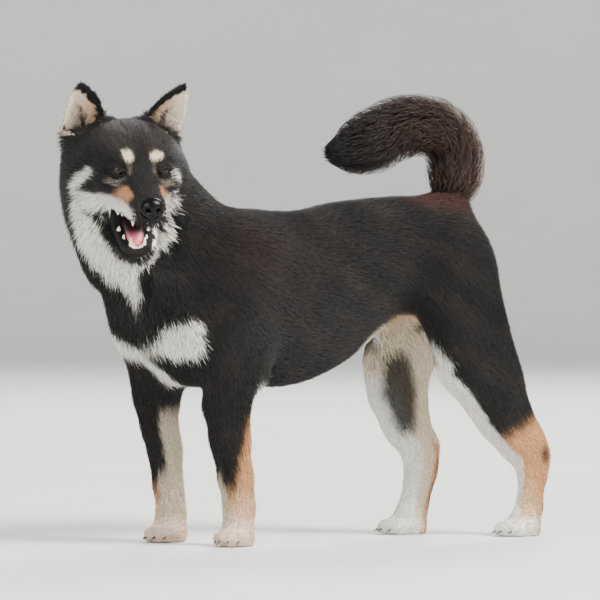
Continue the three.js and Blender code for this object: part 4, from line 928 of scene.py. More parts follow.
def smoothing_share(points):
    """How strongly the fused surface is smoothed at each place, least on the face, ears and paws."""
    head = to_head(points)
    share = np.ones(len(points))
    on_head = 1 - ramp(80, 120, np.linalg.norm(head - [0, -10, -30], axis=1))
    share += on_head * (0.2 - share)
    fine = 1 - ramp(40, 62, np.linalg.norm(head - [0, -84, -46], axis=1))
    share += fine * (0.07 - share)
    for side in (LEFT, RIGHT):
        t, _, _, _ = ear_places(head, side)
        on_ear = ramp(-0.05, 0.2, t) * (head[:, 0] * side > 8) * (head[:, 2] > 25) * (head[:, 2] < 130)
        share += on_ear * (0.05 - share)
    share += (1 - ramp(150, 215, points[:, 2])) * (np.minimum(0.3, share) - share)
    share += (1 - ramp(30, 50, points[:, 2])) * (0.08 - share)
    return share


# Round each eye: how far the lids' work reaches, how deep the opening lies in the ball, how much of the ball
# the lids always cover, where their edge starts, and the height, place and width of their rim and crease
EYE_REACH = 26
EYE_BEHIND = -6
OPENING_SINK = 1.6
LID_COVER = 0.6
LID_START = 0.94
LID_FADE = (1.6, 5.4)
LID_RIM = (0.5, 1.12, 0.16)
LID_CREASE = (1.1, 1.75, 0.22)
THIN_COVER = 3


def ball_rise(radius, flat):
    """How far a ball rises above its middle at a squared distance from its axis, 0 outside it."""
    return np.sqrt(np.clip(radius ** 2 - flat, 0, None))


def ridge(edge, height, place, width):
    """A rounded ridge that runs round the eye's opening at a place of its edge measure."""
    return height * np.exp(-((np.sqrt(edge) - place) / width) ** 2)


def sculpt_eyes(mesh):
    """Moves the skin round each eye along the eye's axis into lids with an almond opening."""
    points = from_row(points_of(mesh))
    head = to_head(points)
    for side in (LEFT, RIGHT):
        a, b, w, edge = eye_places(head, side)
        flat = a ** 2 + b ** 2
        near = (w > EYE_BEHIND) & (flat < EYE_REACH ** 2) & (head[:, 0] * side > 0)
        ball = ball_rise(EYE_RADIUS + LID_THICKNESS, flat)
        inner = ball_rise(EYE_RADIUS - OPENING_SINK, flat)
        lid = np.where(edge < LID_START, inner, ball + ridge(edge, *LID_RIM))
        crease = ridge(edge, *LID_CREASE) * ramp(-2, 3, b)
        pull = (1 - ramp(*LID_FADE, edge)) * near
        depth = w + pull * (np.where(ball > 0, lid, w) - w) - crease * near
        cover = ball_rise(EYE_RADIUS + LID_COVER, flat)
        lidded = near & (edge >= LID_START) & (cover > THIN_COVER)
        depth = np.where(lidded, np.maximum(depth, cover), depth)
        head += (depth - w)[:, None] * eye_axis(side)
    move_points(mesh, to_row(from_head(head)))


def subdivide_near(piece, places, reach):
    """Splits the faces of a piece that lie near some places of the head."""
    mesh = piece.data
    centres = np.zeros(len(mesh.polygons) * 3)
    mesh.polygons.foreach_get("center", centres)
    head = to_head(from_row(centres.reshape(-1, 3)))
    near = np.zeros(len(head), bool)
    for place in places:
        near |= np.linalg.norm(head - place, axis=1) < reach
    choose(piece)
    bpy.ops.object.mode_set(mode="EDIT")
    bpy.ops.mesh.select_all(action="DESELECT")
    bpy.ops.mesh.select_mode(type="FACE")
    bpy.ops.object.mode_set(mode="OBJECT")
    mesh.polygons.foreach_set("select", near)
    bpy.ops.object.mode_set(mode="EDIT")
    bpy.ops.mesh.subdivide(number_cuts=1)
    bpy.ops.object.mode_set(mode="OBJECT")


def build_skin():
    """One closed skin over the whole animal, inside the solids by the coat's depth."""
    skin = joined("skin", [merged_copy("skin", FLESH + EYES), tail_core()])
    apply_modifier(skin, "DISPLACE", strength=SKIN_SWELL * MM, mid_level=0.0)
    apply_modifier(skin, "REMESH", mode="VOXEL", voxel_size=SKIN_VOXEL * MM, adaptivity=0.0)
    mesh = skin.data
    points = from_row(points_of(mesh))
    pairs = edges_of(mesh)
    points = eased(points, pairs, 0.5 * smoothing_share(points), 60)
    move_points(mesh, to_row(points))
    _, _, _, fact = coat_facts(points)
    depth = fact[:, 1]
    depth[tail_share(points) > 0.12] = 0
    normals = eased(normals_of(mesh), pairs, np.full(len(points), 0.5), 6)
    normals /= np.linalg.norm(normals, axis=1, keepdims=True).clip(1e-6)
    inset = eased(depth[:, None], pairs, np.full(len(points), 0.5), 8)[:, 0]
    head = to_head(points)
    beside_mouth = np.abs(head[:, 0] - MOUTH_MIDDLE) < MOUTH_REACH
    inset *= np.where(beside_mouth, ramp(0.5, 14, mouth_gap(head)), 1)
    for side in (LEFT, RIGHT):
        t, u, deep, _ = ear_places(head, side)
        on_ear = ramp(-0.3, -0.1, t) * (np.abs(u) < 1.25) * (deep > -26) * (deep < 5)
        on_ear = on_ear * (head[:, 0] * side > 8)
        inset += on_ear * (np.minimum(inset, EAR_INSET) - inset)
    inset[points[:, 2] < 3] *= 0.3
    points = points - normals * inset[:, None]
    points[:, 2] = np.maximum(points[:, 2], FLOOR_GAP)
    move_points(mesh, to_row(points))
    eyes = [EYE_AT * [side, 1, 1] for side in (LEFT, RIGHT)]
    for reach in EYE_SPLITS:
        subdivide_near(skin, eyes, reach)
    sculpt_eyes(skin.data)
    edit_whole(skin, bpy.ops.uv.smart_project, angle_limit=math.radians(66), island_margin=0.002)
    skin.data.uv_layers[0].name = "OFBake"
    mesh = skin.data
    shade = markings(from_row(points_of(mesh)), normals_of(mesh))
    write_colours(mesh, shade)
    return finish_piece(skin, skin_material(), nodes=FLESH + TAIL_NODES)


# Tufts

TUFT_PATCH = 0.003
TUFT_SINK = 0.7
TUFT_RIDGE = 0.7
LONG_TUFT = 18
FLOOR_GAP = 0.4

# Where a tuft's sections stand along it and their share of its width, on long tufts and on short ones
LONG_SECTIONS = ((0, 0.3, 0.68, 1.0), (0.0, 1.0, 0.85, 0.0))
SHORT_SECTIONS = ((0, 0.42, 1.0), (0.0, 1.0, 0.0))
TAIL_SECTIONS = ((0, 0.26, 0.62, 1.0), (0.0, 1.0, 0.8, 0.0))
PIECE_TRIANGLES = 199000
TRIANGLES_A_SECTION = 6
COAT_SEED = 7
TAIL_SEED = 19
TAIL_TUFTS = 11000
TAIL_END = 4
GOLDEN_ANGLE = 2.399963
STRAY_SHARE = 0.03
STRAY_LIFT = 1.35


def write_tufts(name, spine, widths, side, up, shade, uv):
    """Writes tufts as one mesh. Each is a closed spindle: a root point, ridged sections and a tip point."""
    count, stations = spine.shape[:2]
    body = stations - 2
    ring = np.zeros((count, body, 3, 3))
    half = widths[:, 1:-1, None] / 2
    ring[:, :, 0] = spine[:, 1:-1] + side[:, None] * half
    ring[:, :, 1] = spine[:, 1:-1] + up[:, None] * half * TUFT_RIDGE
    ring[:, :, 2] = spine[:, 1:-1] - side[:, None] * half
    tip = body * 3 + 1
    each = tip + 1
    points = np.concatenate([spine[:, :1], ring.reshape(count, body * 3, 3), spine[:, -1:]], axis=1)
    points = points.reshape(-1, 3)
    faces = []
    for k in range(3):
        n = (k + 1) % 3
        faces.append((0, 1 + n, 1 + k))
        for r in range(body - 1):
            faces.append((r * 3 + 1 + n, r * 3 + 4 + n, r * 3 + 4 + k, r * 3 + 1 + k))
        faces.append((tip - 3 + n, tip, tip - 3 + k))
    faces = [face[::-1] for face in faces]
    pattern = np.concatenate([np.array(f) for f in faces])
    sizes = np.array([len(f) for f in faces])
    loops = (pattern[None] + each * np.arange(count)[:, None]).ravel()
    totals = np.tile(sizes, count)
    starts = np.concatenate([[0], np.cumsum(totals)[:-1]])
    points[:, 2] = np.maximum(points[:, 2], FLOOR_GAP)
    mesh = bpy.data.meshes.new(name)
    mesh.vertices.add(len(points))
    mesh.loops.add(len(loops))
    mesh.polygons.add(len(totals))
    mesh.vertices.foreach_set("co", to_row(points).astype(np.float32).ravel())
    mesh.loops.foreach_set("vertex_index", loops.astype(np.int32))
    mesh.polygons.foreach_set("loop_start", starts.astype(np.int32))
    mesh.polygons.foreach_set("loop_total", totals.astype(np.int32))
    mesh.update(calc_edges=True)
    colours = np.repeat(shade, [1] + [3] * body + [1], axis=1).reshape(-1, 3)
    write_colours(mesh, colours)
    across = np.array([0] + [(k % 3 - 1) / 2 for k in range(body * 3)] + [0])
    along = np.array([-0.5] + [(k // 3 + 1) / (body + 1) - 0.5 for k in range(body * 3)] + [0.5])
    corner = np.stack([across, along], axis=1) * TUFT_PATCH
    places = (uv[:, None] + corner[None]).reshape(-1, 2)
    layer = mesh.uv_layers.new(name="OFBake")
    layer.uv.foreach_set("vector", places[loops].astype(np.float32).ravel())
    return new_piece(name, mesh)


def skin_triangles(mesh):
    """The skin's triangles: corner places, normals and UV places."""
    mesh.calc_loop_triangles()
    count = len(mesh.loop_triangles)
    verts = np.zeros(count * 3, np.int32)
    loops = np.zeros(count * 3, np.int32)
    mesh.loop_triangles.foreach_get("vertices", verts)
    mesh.loop_triangles.foreach_get("loops", loops)
    verts, loops = verts.reshape(-1, 3), loops.reshape(-1, 3)
    uv = np.zeros(len(mesh.loops) * 2)
    mesh.uv_layers["OFBake"].uv.foreach_get("vector", uv)
    return from_row(points_of(mesh))[verts], normals_of(mesh)[verts], uv.reshape(-1, 2)[loops]


def hair_share(points, normals):
    """1 where tufts grow, 0 on lips, lids, the nose, the soles and the tail."""
    head = to_head(points)
    share = np.ones(len(points))
    gap = mouth_gap(head)
    on_cheek = (head[:, 0] > FAR_CHEEK) & (gap > -4)
    share *= (gap > 2.2) | on_cheek | (np.abs(head[:, 0] - MOUTH_MIDDLE) > MOUTH_REACH) | (head[:, 1] > -20)
    for side in (LEFT, RIGHT):
        _, _, w, edge = eye_places(head, side)
        share *= (edge > 1.25) | (w < 0)
    share *= np.linalg.norm((head - NOSE_AT) / (NOSE_RADII + 1.0), axis=1) > 1
    share *= (points[:, 2] > 2.5) | (normals[:, 2] > -0.5)
    share *= tail_share(points) < 0.14
    return share


def build_coat(skin):
    """Tufts over the whole skin apart from the tail, a piece for each part of the body."""
    coat = bpy.context.scene.shiba_coat
    corners, corner_normals, corner_uv = skin_triangles(skin.data)
    centres = corners.mean(axis=1)
    middle_normals = corner_normals.mean(axis=1)
    sides = corners[:, 1:] - corners[:, :1]
    areas = 0.5 * np.linalg.norm(np.cross(sides[:, 0], sides[:, 1]), axis=1)
    _, _, _, fact = coat_facts(centres)
    expected = areas / fact[:, 3] ** 2 * hair_share(centres, middle_normals) * coat.cover
    draws = np.random.default_rng(COAT_SEED)
    count = int(expected.sum())
    marks = (np.arange(count) + draws.random(count)) / count * expected.sum()
    chosen = np.searchsorted(np.cumsum(expected), marks).clip(0, len(areas) - 1)
    a = np.sqrt(draws.random(count))
    b = draws.random(count)
    share = np.stack([1 - a, a * (1 - b), a * b], axis=1)[:, :, None]
    root = (corners[chosen] * share).sum(axis=1)
    normal = (corner_normals[chosen] * share).sum(axis=1)
    normal /= np.linalg.norm(normal, axis=1, keepdims=True)
    uv = (corner_uv[chosen] * share).sum(axis=1)
    names, row, lie, fact = coat_facts(root)
    length, depth, width = fact[:, 0], fact[:, 1], fact[:, 2]
    swing = np.radians(coat.disorder) * draws.normal(size=count)
    lie = lie - (lie * normal).sum(axis=1, keepdims=True) * normal
    lie /= np.linalg.norm(lie, axis=1, keepdims=True).clip(1e-6)
    beside = np.cross(normal, lie)
    way = np.cos(swing)[:, None] * lie + np.sin(swing)[:, None] * beside
    beside = np.cross(normal, way)
    length = length * coat.length_scale * draws.uniform(0.72, 1.2, count)
    lift = depth * draws.uniform(0.55, 1.05, count)
    lift *= np.where(draws.random(count) < STRAY_SHARE, STRAY_LIFT, 1.0)
    width = width * draws.uniform(0.75, 1.2, count)
    bend = draws.normal(size=count) * 0.06 * length
    shade = markings(root + way * (length * draws.uniform(-0.3, 0.2, count))[:, None], normal)
    tone = draws.uniform(0.78, 1.22, count)[:, None]
    pieces = {}
    for i, name in enumerate(names):
        pieces.setdefault(name, []).append(i)
    made = []
    for name, rows in pieces.items():
        mine = np.flatnonzero(np.isin(row, rows))
        long = len(mine) and length[mine].mean() > LONG_TUFT
        steps, thick = (np.array(row) for row in (LONG_SECTIONS if long else SHORT_SECTIONS))
        limit = PIECE_TRIANGLES // (TRIANGLES_A_SECTION * (len(steps) - 2))
        parts = max(1, math.ceil(len(mine) / limit))
        for part in range(parts):
            pick = mine[part::parts] if parts > 1 else mine
            if not len(pick):
                continue
            s = steps[None, :, None]
            rise = np.sin(np.clip(steps * 1.35, 0, math.pi / 2))[None, :, None]
            spine = (root[pick, None] - normal[pick, None] * TUFT_SINK
                     + way[pick, None] * (s * length[pick, None, None])
                     + normal[pick, None] * (rise * (lift[pick, None, None] + TUFT_SINK))
                     + beside[pick, None] * (s ** 2 * bend[pick, None, None]))
            # Each tuft darkens towards its root as painted shade and lightens towards its tip
            root_shade_ramp = np.linspace(0.72, 1.12, len(steps))[None, :, None]
            colours = shade[pick, None] * tone[pick, None] * root_shade_ramp
            label = f"coat_{name}" if parts == 1 else f"coat_{name}_{part + 1}"
            piece = write_tufts(label, spine, width[pick, None] * thick[None], beside[pick], normal[pick],
                                colours, uv[pick])
            made.append(piece)
    return made


def build_tail(skin):
    """The brush: long tufts that leave the tail's flesh and follow its curve to the tip."""
    line = tail_curve(240)
    gaps = np.linalg.norm(np.diff(line[:, :3], axis=0), axis=1)
    run = np.concatenate([[0], np.cumsum(gaps)])
    total = run[-1]
    draws = np.random.default_rng(TAIL_SEED)
    coat = bpy.context.scene.shiba_coat
    count = int(TAIL_TUFTS * coat.cover)
    start = total * (0.07 + 0.93 * ((np.arange(count) + draws.random(count)) / count))
    angle = (np.arange(count) * GOLDEN_ANGLE + draws.normal(size=count) * 0.3) % (2 * math.pi)
    length = draws.uniform(22, 54, count) * (1 - 0.2 * ramp(0.85, 1, start / total))
    spread = draws.uniform(0.55, 1.08, count)
    sway = draws.normal(size=count) * 0.34

    def at(distance, column):
        return np.interp(distance, run, line[:, column])

    def frame_at(distance):
        step = 2.0
        ahead = np.stack([at(distance + step, i) - at(distance - step, i) for i in range(3)], axis=-1)
        ahead /= np.linalg.norm(ahead, axis=-1, keepdims=True)
        beside = np.array([1.0, 0, 0]) - ahead * ahead[..., :1]
        beside /= np.linalg.norm(beside, axis=-1, keepdims=True)
        return ahead, beside, np.cross(ahead, beside)

    steps, thick = (np.array(row) for row in TAIL_SECTIONS)
    spine = np.zeros((count, len(steps), 3))
    for k, s in enumerate(steps):
        distance = start + s * length
        over = np.maximum(distance - total + TAIL_END, 0)
        inside = np.minimum(distance, total - TAIL_END)
        ahead, beside, above = frame_at(inside)
        flesh = at(inside, 3) * TAIL_FLESH_SHARE - 1.0
        reach = at(inside, 4)
        out = flesh + (reach * spread - flesh) * math.sin(min(1, 1.25 * s) * math.pi / 2)
        out = out * (1 - 0.55 * np.clip(over / 34, 0, 1))
        twist = angle + sway * s
        radial = np.cos(twist)[:, None] * beside + np.sin(twist)[:, None] * above
        centre = np.stack([at(inside, i) for i in range(3)], axis=-1) + ahead * (over * 0.55)[:, None]
        spine[:, k] = centre + radial * out[:, None]
    ahead, beside, above = frame_at(start)
    radial = np.cos(angle)[:, None] * beside + np.sin(angle)[:, None] * above
    side = np.cross(radial, ahead)
    width = draws.uniform(0.8, 1.5, count)[:, None] * thick[None]
    tree = BVHTree.FromObject(skin, bpy.context.evaluated_depsgraph_get())
    skin.data.calc_loop_triangles()
    uv_of = skin.data.uv_layers["OFBake"].uv
    uv = np.zeros((count, 2))
    polygons = skin.data.polygons
    for i, place in enumerate(to_row(spine[:, 0])):
        _, _, face, _ = tree.find_nearest(Vector(place))
        uv[i] = uv_of[polygons[face].loop_start].vector
    shade = markings(spine[:, 1], radial)
    outer = ramp(0.2, 0.9, radial[:, 1]) * (1 - ramp(0.32, 0.55, start / total))
    frost = (draws.random(count) < 0.5 * outer)[:, None]
    shade = np.where(frost, shade * 0.5 + 0.5 * np.array(coat.frost[:3]), shade)
    tone = draws.uniform(0.65, 1.35, count)[:, None, None]
    # Each tail tuft darkens towards its root as painted shade and lightens towards its tip
    root_shade_ramp = np.array([0.7, 0.9, 1.1, 1.3])[None, :, None]
    return write_tufts("coat_tail", spine, width, side, radial, shade[:, None] * tone * root_shade_ramp, uv)


# Eyes, nose, mouth and claws

# The shaded white of the eye, and the pupil
EYE_WHITE = colour((70, 52, 44))
PUPIL = colour((5, 4, 4))
CORNEA_BULGE = 0.07
CORNEA_EDGE = 44


def build_eyes():
    """Each eye as a ball with a bulging cornea, a dark iris and a pupil."""
    settings = bpy.context.scene.shiba_face
    material = new_material("Eye Gloss", 0.12, Specular_IOR_Level=0.22, Coat_Weight=0.15, Coat_Roughness=0.03)
    grained(material, attribute_colour(material, "Markings"), 900.0, 0.15, 0.02, 0.0001)
    for side, word in ((LEFT, "left"), (RIGHT, "right")):
        nothing_selected()
        bpy.ops.mesh.primitive_uv_sphere_add(segments=48, ring_count=32, radius=1)
        eye = bpy.context.view_layer.objects.active
        eye.name = f"eyeball_{word}"
        unit = points_of(eye.data)
        unit = np.stack([unit[:, 0], -unit[:, 2], unit[:, 1]], axis=1)
        angle = np.degrees(np.arccos(np.clip(-unit[:, 1], -1, 1)))
        bulge = 1 + CORNEA_BULGE * (1 - ramp(0, CORNEA_EDGE, angle))
        turn = np.array(Matrix.Rotation(side * LID_OUTWARD * 0.9, 3, "Z"))
        head = (unit * bulge[:, None] * EYE_RADIUS) @ turn.T + EYE_AT * [side, 1, 1]
        move_points(eye.data, to_row(from_head(head)))
        iris = np.array(settings.iris[:3])
        shade = np.tile(EYE_WHITE, (len(unit), 1))
        for start, end, ring in ((48, 54, iris * 0.35), (40, 48, iris), (20, 25, PUPIL)):
            shade += (1 - ramp(start, end, angle))[:, None] * (ring - shade)
        write_colours(eye.data, shade)
        edit_whole(eye, bpy.ops.mesh.normals_make_consistent, inside=False)
        finish_piece(eye, material, nodes=[f"eye_{word}"])


GROOVE_DEPTH = 1.5
NOSTRIL_DEPTH = 5.2
SLIT_DEPTH = 2.4


def build_nose():
    """The nose leather: broad above, with comma nostrils and a groove down its middle."""
    nothing_selected()
    bpy.ops.mesh.primitive_ico_sphere_add(subdivisions=6, radius=1)
    nose = bpy.context.view_layer.objects.active
    nose.name = "nose_leather"
    unit = points_of(nose.data)
    x, y, z = unit.T
    taper = 1 - 0.22 * ramp(0.1, -1, z)
    shape = np.stack([x * (1 - 0.28 * ramp(0.1, 1.0, -z)), y, z], axis=1)
    head = shape * (NOSE_RADII * [1, 1.05, 1])
    front = ramp(0.1, 0.6, -y)
    groove = np.exp(-(x / 0.07) ** 2) * ramp(-0.15, 0.5, -z) * front
    head[:, 1] += GROOVE_DEPTH * groove * taper
    for side in (LEFT, RIGHT):
        out = x * side
        hole = np.exp(-(((out - 0.4) / 0.2) ** 2 + ((z + 0.02) / 0.2) ** 2)) * front
        slit = np.exp(-(((out - 0.68) / 0.22) ** 2 + ((z + 0.24 + 0.1 * x * side) / 0.09) ** 2)) * front
        head[:, 1] += NOSTRIL_DEPTH * hole + SLIT_DEPTH * slit
    move_points(nose.data, to_row(from_head(head + NOSE_AT)))
    material = new_material("Nose Leather", 0.2, Specular_IOR_Level=0.16)
    grained(material, colour((6, 5, 6)), 1500.0, 0.25, 0.4, 0.0004)
    finish_piece(nose, material, nodes=["nose"])


TONGUE_ROOT = -34
TONGUE_SHARE = 0.84
TONGUE_SINK = 3.0
TONGUE_PINK = colour((216, 104, 120))
# Painted shade of the dark mouth, laid on the tongue's back
THROAT_SHADE = colour((40, 14, 17))
TONGUE_GLOW = (0.004, 0.002, 0.001)


def build_tongue():
    """The tongue: the solid's form made round, a little shorter and lower, pink in front with painted shade
    behind.
    """
    tongue = merged_copy("tongue_flesh", ["tongue"])
    apply_modifier(tongue, "SUBSURF", levels=3, render_levels=3)
    jaw = to_jaw(to_head(from_row(points_of(tongue.data))))
    shortened = TONGUE_ROOT + TONGUE_SHARE * (jaw[:, 1] - TONGUE_ROOT)
    jaw[:, 1] = np.where(jaw[:, 1] < TONGUE_ROOT, shortened, jaw[:, 1])
    jaw[:, 2] -= TONGUE_SINK
    move_points(tongue.data, to_row(from_head(from_jaw(jaw))))
    # The tongue's back fades into painted shade
    back = ramp(-75, -60, jaw[:, 1])[:, None]
    write_colours(tongue.data, TONGUE_PINK * (1 - back) + THROAT_SHADE * back)
    material = new_material("Tongue", 0.32, Specular_IOR_Level=0.5, Subsurface_Weight=0.1)
    shader = material.node_tree.nodes["Principled BSDF"]
    shader.inputs["Subsurface Radius"].default_value = TONGUE_GLOW
    grained(material, attribute_colour(material, "Markings"), 900.0, 0.12, 0.35, 0.0006)
    finish_piece(tongue, material, nodes=["tongue"])


# The lips' edges as [y, z] stations, and teeth as [place along one side from the front, radius, height]
UPPER_LIP_LINE = [(-40, -38.5), (-56, -37), (-76, -36.5), (-93, -36)]
LOWER_LIP_LINE = [(-37, -56), (-50, -66), (-63, -75)]
UPPER_TEETH = [(0.06, 1.7, 2.6), (0.17, 1.8, 2.8), (0.28, 2.7, 8), (0.5, 2.6, 3), (0.66, 3.2, 4.6),
               (0.82, 3.6, 6)]
LOWER_TEETH = [(0.05, 1.6, 6.6), (0.15, 1.6, 6.6), (0.245, 1.7, 6.8), (0.36, 2.6, 11), (0.58, 2.8, 5),
               (0.78, 3.2, 6)]
LIP_INSET = 1.2
CURVED_TOOTH = 8
TOOTH_ROOT = 3
TOOTH_SINK = 2.5


def lip_path(node, line, lift, front):
    """The edge of a lip as places in the head's frame, found from outside against the solid."""
    solid = frame["nodes"][node].data
    tree = BVHTree.FromPolygons([v.co for v in solid.vertices], [p.vertices for p in solid.polygons])

    def hit(start, way):
        at, _, _, _ = tree.ray_cast(Vector(to_row(from_head(start))), Vector(np.array(way) @ HEAD_AXES.T))
        return to_head(from_row(at)) if at else np.array(start, float)

    def along(side):
        places = []
        for y, z in line:
            at = hit((side * 70.0, y, z + lift), (-side * 1.0, 0, 0))
            places.append((at[0] - side * LIP_INSET, at[1], at[2] - lift))
        return places

    tip = hit((0.0, -150.0, front + lift), (0, 1.0, 0))
    return np.array(along(RIGHT) + [(0, tip[1] + LIP_INSET, front)] + along(LEFT)[::-1], float)


def on_path(path, share):
    """A place along a path of points, by its share from start to end."""
    at = share * (len(path) - 1)
    return np.array([np.interp(at, np.arange(len(path)), path[:, i]) for i in range(3)])


def build_tooth(radius, height, rise):
    """One tooth at the origin: a rounded cone that stands up or hangs down, the tall ones curved back."""
    nothing_selected()
    bpy.ops.mesh.primitive_cone_add(vertices=12, radius1=1, radius2=0.25, depth=1)
    tooth = bpy.context.view_layer.objects.active
    edit_whole(tooth, bpy.ops.mesh.subdivide, number_cuts=2)
    unit = points_of(tooth.data)
    up = unit[:, 2] + 0.5
    swell = 0.8 * np.sqrt(np.clip(1 - up ** 2 * 0.94, 0, 1))
    scale = swell / (1 - 0.75 * up).clip(0.25)
    places = np.stack([unit[:, 0] * scale * radius, unit[:, 1] * scale * radius,
                       (up * (height + TOOTH_ROOT) - TOOTH_SINK) * rise], axis=1)
    places[:, 1] += 0.09 * height * up ** 2 * (height > CURVED_TOOTH)
    return tooth, places


def build_teeth():
    """Teeth along both jaws, from the small front ones to the long canines and the cheek teeth."""
    upper = lip_path("head", UPPER_LIP_LINE, 1.5, -34)
    lower = lip_path("jaw_lower", LOWER_LIP_LINE, -8, -80)
    teeth = []
    for path, table, inset, rise in ((upper, UPPER_TEETH, 4.0, -1), (lower, LOWER_TEETH, 3.4, 1)):
        for side in (LEFT, RIGHT):
            for place, radius, height in table:
                tooth, local = build_tooth(radius, height, rise)
                at = on_path(path, 0.5 + side * place * 0.5)
                sideways = np.clip((at[0] - 1.5) / 10, -1, 1)
                at = at + np.array([-sideways * inset, inset * (1 - place) * 0.5, 0])
                move_points(tooth.data, to_row(from_head(local + at)))
                teeth.append(tooth)
    piece = joined("teeth", teeth)
    edit_whole(piece, bpy.ops.mesh.normals_make_consistent, inside=False)
    material = new_material("Tooth Enamel", 0.22, Specular_IOR_Level=0.55)
    grained(material, colour((232, 224, 206)), 500.0, 0.06, 0.08, 0.0003)
    finish_piece(piece, material)


# A claw's half width, length, half thickness, how far it curves down and where it leaves its toe
CLAW_WIDTH = 1.5
CLAW_LENGTH = 8.5
CLAW_THICKNESS = 1.9
CLAW_CURVE = 3.6
CLAW_SINK = 4.0
CLAW_HEIGHT = 6.6


def build_claws():
    """Four claws a paw, each a curved horn that leaves its toe forwards and down."""
    claws = []
    for paws in (FORE_PAWS, HIND_PAWS):
        for side in (LEFT, RIGHT):
            (px, py), turn = paws[side]
            yaw = np.array(Matrix.Rotation(math.radians(turn), 3, "Z"))
            for x, y, reach in TOES:
                nothing_selected()
                bpy.ops.mesh.primitive_cone_add(vertices=10, radius1=1, radius2=0.16, depth=1)
                claw = bpy.context.view_layer.objects.active
                edit_whole(claw, bpy.ops.mesh.subdivide, number_cuts=3)
                unit = points_of(claw.data)
                along = unit[:, 2] + 0.5
                local = np.stack([unit[:, 0] * CLAW_WIDTH, -along * CLAW_LENGTH, CLAW_THICKNESS * unit[:, 1]
                                  - CLAW_CURVE * along ** 1.7 + 0.4], axis=1)
                local += [x, y - reach + CLAW_SINK, CLAW_HEIGHT]
                local[:, 2] = np.maximum(local[:, 2], FLOOR_GAP)
                move_points(claw.data, to_row(local @ yaw.T + [px, py, 0]))
                claws.append(claw)
    piece = joined("claws", claws)
    edit_whole(piece, bpy.ops.mesh.normals_make_consistent, inside=False)
    material = new_material("Claw Horn", 0.35, Specular_IOR_Level=0.45)
    grained(material, colour((62, 52, 46)), 700.0, 0.3, 0.2, 0.0004)
    finish_piece(piece, material)


# The lower jaw opens a little further than the solids have it, as the photograph's does

JAW_DROP = math.radians(5)

# Where the jaw's share of the turn starts and ends: in degrees below the hinge's level, in distance from the
# hinge, and in distance from the mouth's middle
JAW_START = (9, 24)
JAW_END = (60, 118)
JAW_FAR = (98, 135)
JAW_ASIDE = (42, 66)
JAW_PIECES = ("skin", "coat_face", "coat_head", "coat_neck", "tongue_flesh", "teeth")


def drop_jaw():
    """Turns the lower jaw with its hair, teeth and tongue about its hinge, and eases the throat after it."""
    turn = np.array(Matrix.Rotation(JAW_DROP, 3, "X"))
    for piece in [o for o in bpy.data.objects if o.name.startswith(JAW_PIECES)]:
        head = to_head(from_row(points_of(piece.data)))
        off = head - HINGE
        below = np.degrees(np.arctan2(-off[:, 2], -off[:, 1]))
        far = np.hypot(off[:, 1], off[:, 2])
        share = ramp(*JAW_START, below) * (1 - ramp(*JAW_END, below)) * (1 - ramp(*JAW_FAR, far))
        share *= 1 - ramp(*JAW_ASIDE, np.abs(head[:, 0] - MOUTH_MIDDLE))
        head += share[:, None] * (off @ turn.T - off)
        move_points(piece.data, to_row(from_head(head)))


# Stage

CAMERA_DISTANCE = 5500
CAMERA_HEIGHT = 341
CAMERA_AZIMUTH = math.radians(62)
CAMERA_ASIDE = 13
FOCAL_PIXELS = 4848
HORIZON_PIXELS = 60
IMAGE_PIXELS = 600
SENSOR = 36.0

# The stage is in metres. A light is its name, place, size, share of the main light's power and tint.
FLOOR_REACH = 9.0
BACKDROP_BEND = 3.0
BACKDROP_HEIGHT = 9.0
LIGHTS = [
    ("key_light", (4.2, 2.6, 4.2), 2.6, 1.0, (1.0, 0.97, 0.92)),
    ("fill_light", (3.6, -5.2, 2.6), 3.4, 0.36, (0.95, 0.97, 1.0)),
    ("back_light", (-4.0, 3.0, 4.0), 2.6, 0.35, (1.0, 1.0, 1.0)),
]
SKY_TINT = (0.9, 0.93, 1.0, 1)
SKY_STRENGTH = 0.62


def build_camera():
    """A long lens at the photograph's place: low, far off, ahead of the dog and to its left."""
    aside = np.array([math.cos(CAMERA_AZIMUTH), math.sin(CAMERA_AZIMUTH), 0])
    ahead = np.array([-math.sin(CAMERA_AZIMUTH), math.cos(CAMERA_AZIMUTH), 0])
    place = CAMERA_ASIDE * aside - CAMERA_DISTANCE * ahead + [0, 0, CAMERA_HEIGHT]
    pitch = math.atan(HORIZON_PIXELS / FOCAL_PIXELS)
    look = ahead * math.cos(pitch) - np.array([0, 0, math.sin(pitch)])
    data = bpy.data.cameras.new("camera")
    data.sensor_width = SENSOR
    data.lens = FOCAL_PIXELS / IMAGE_PIXELS * SENSOR
    data.clip_end = 60
    camera = bpy.data.objects.new("camera", data)
    camera.location = to_row(place)
    camera.rotation_euler = Vector(look).to_track_quat("-Z", "Y").to_euler()
    bpy.context.scene.collection.objects.link(camera)
    bpy.context.scene.camera = camera


def add_light(name, place, size, power, tint):
    """A soft square light that looks at the dog."""
    data = bpy.data.lights.new(name, "AREA")
    data.size = size
    data.energy = power
    data.color = tint
    light = bpy.data.objects.new(name, data)
    light.location = place
    light.rotation_euler = (Vector((0, 0, 0.25)) - Vector(place)).to_track_quat("-Z", "Y").to_euler()
    bpy.context.scene.collection.objects.link(light)


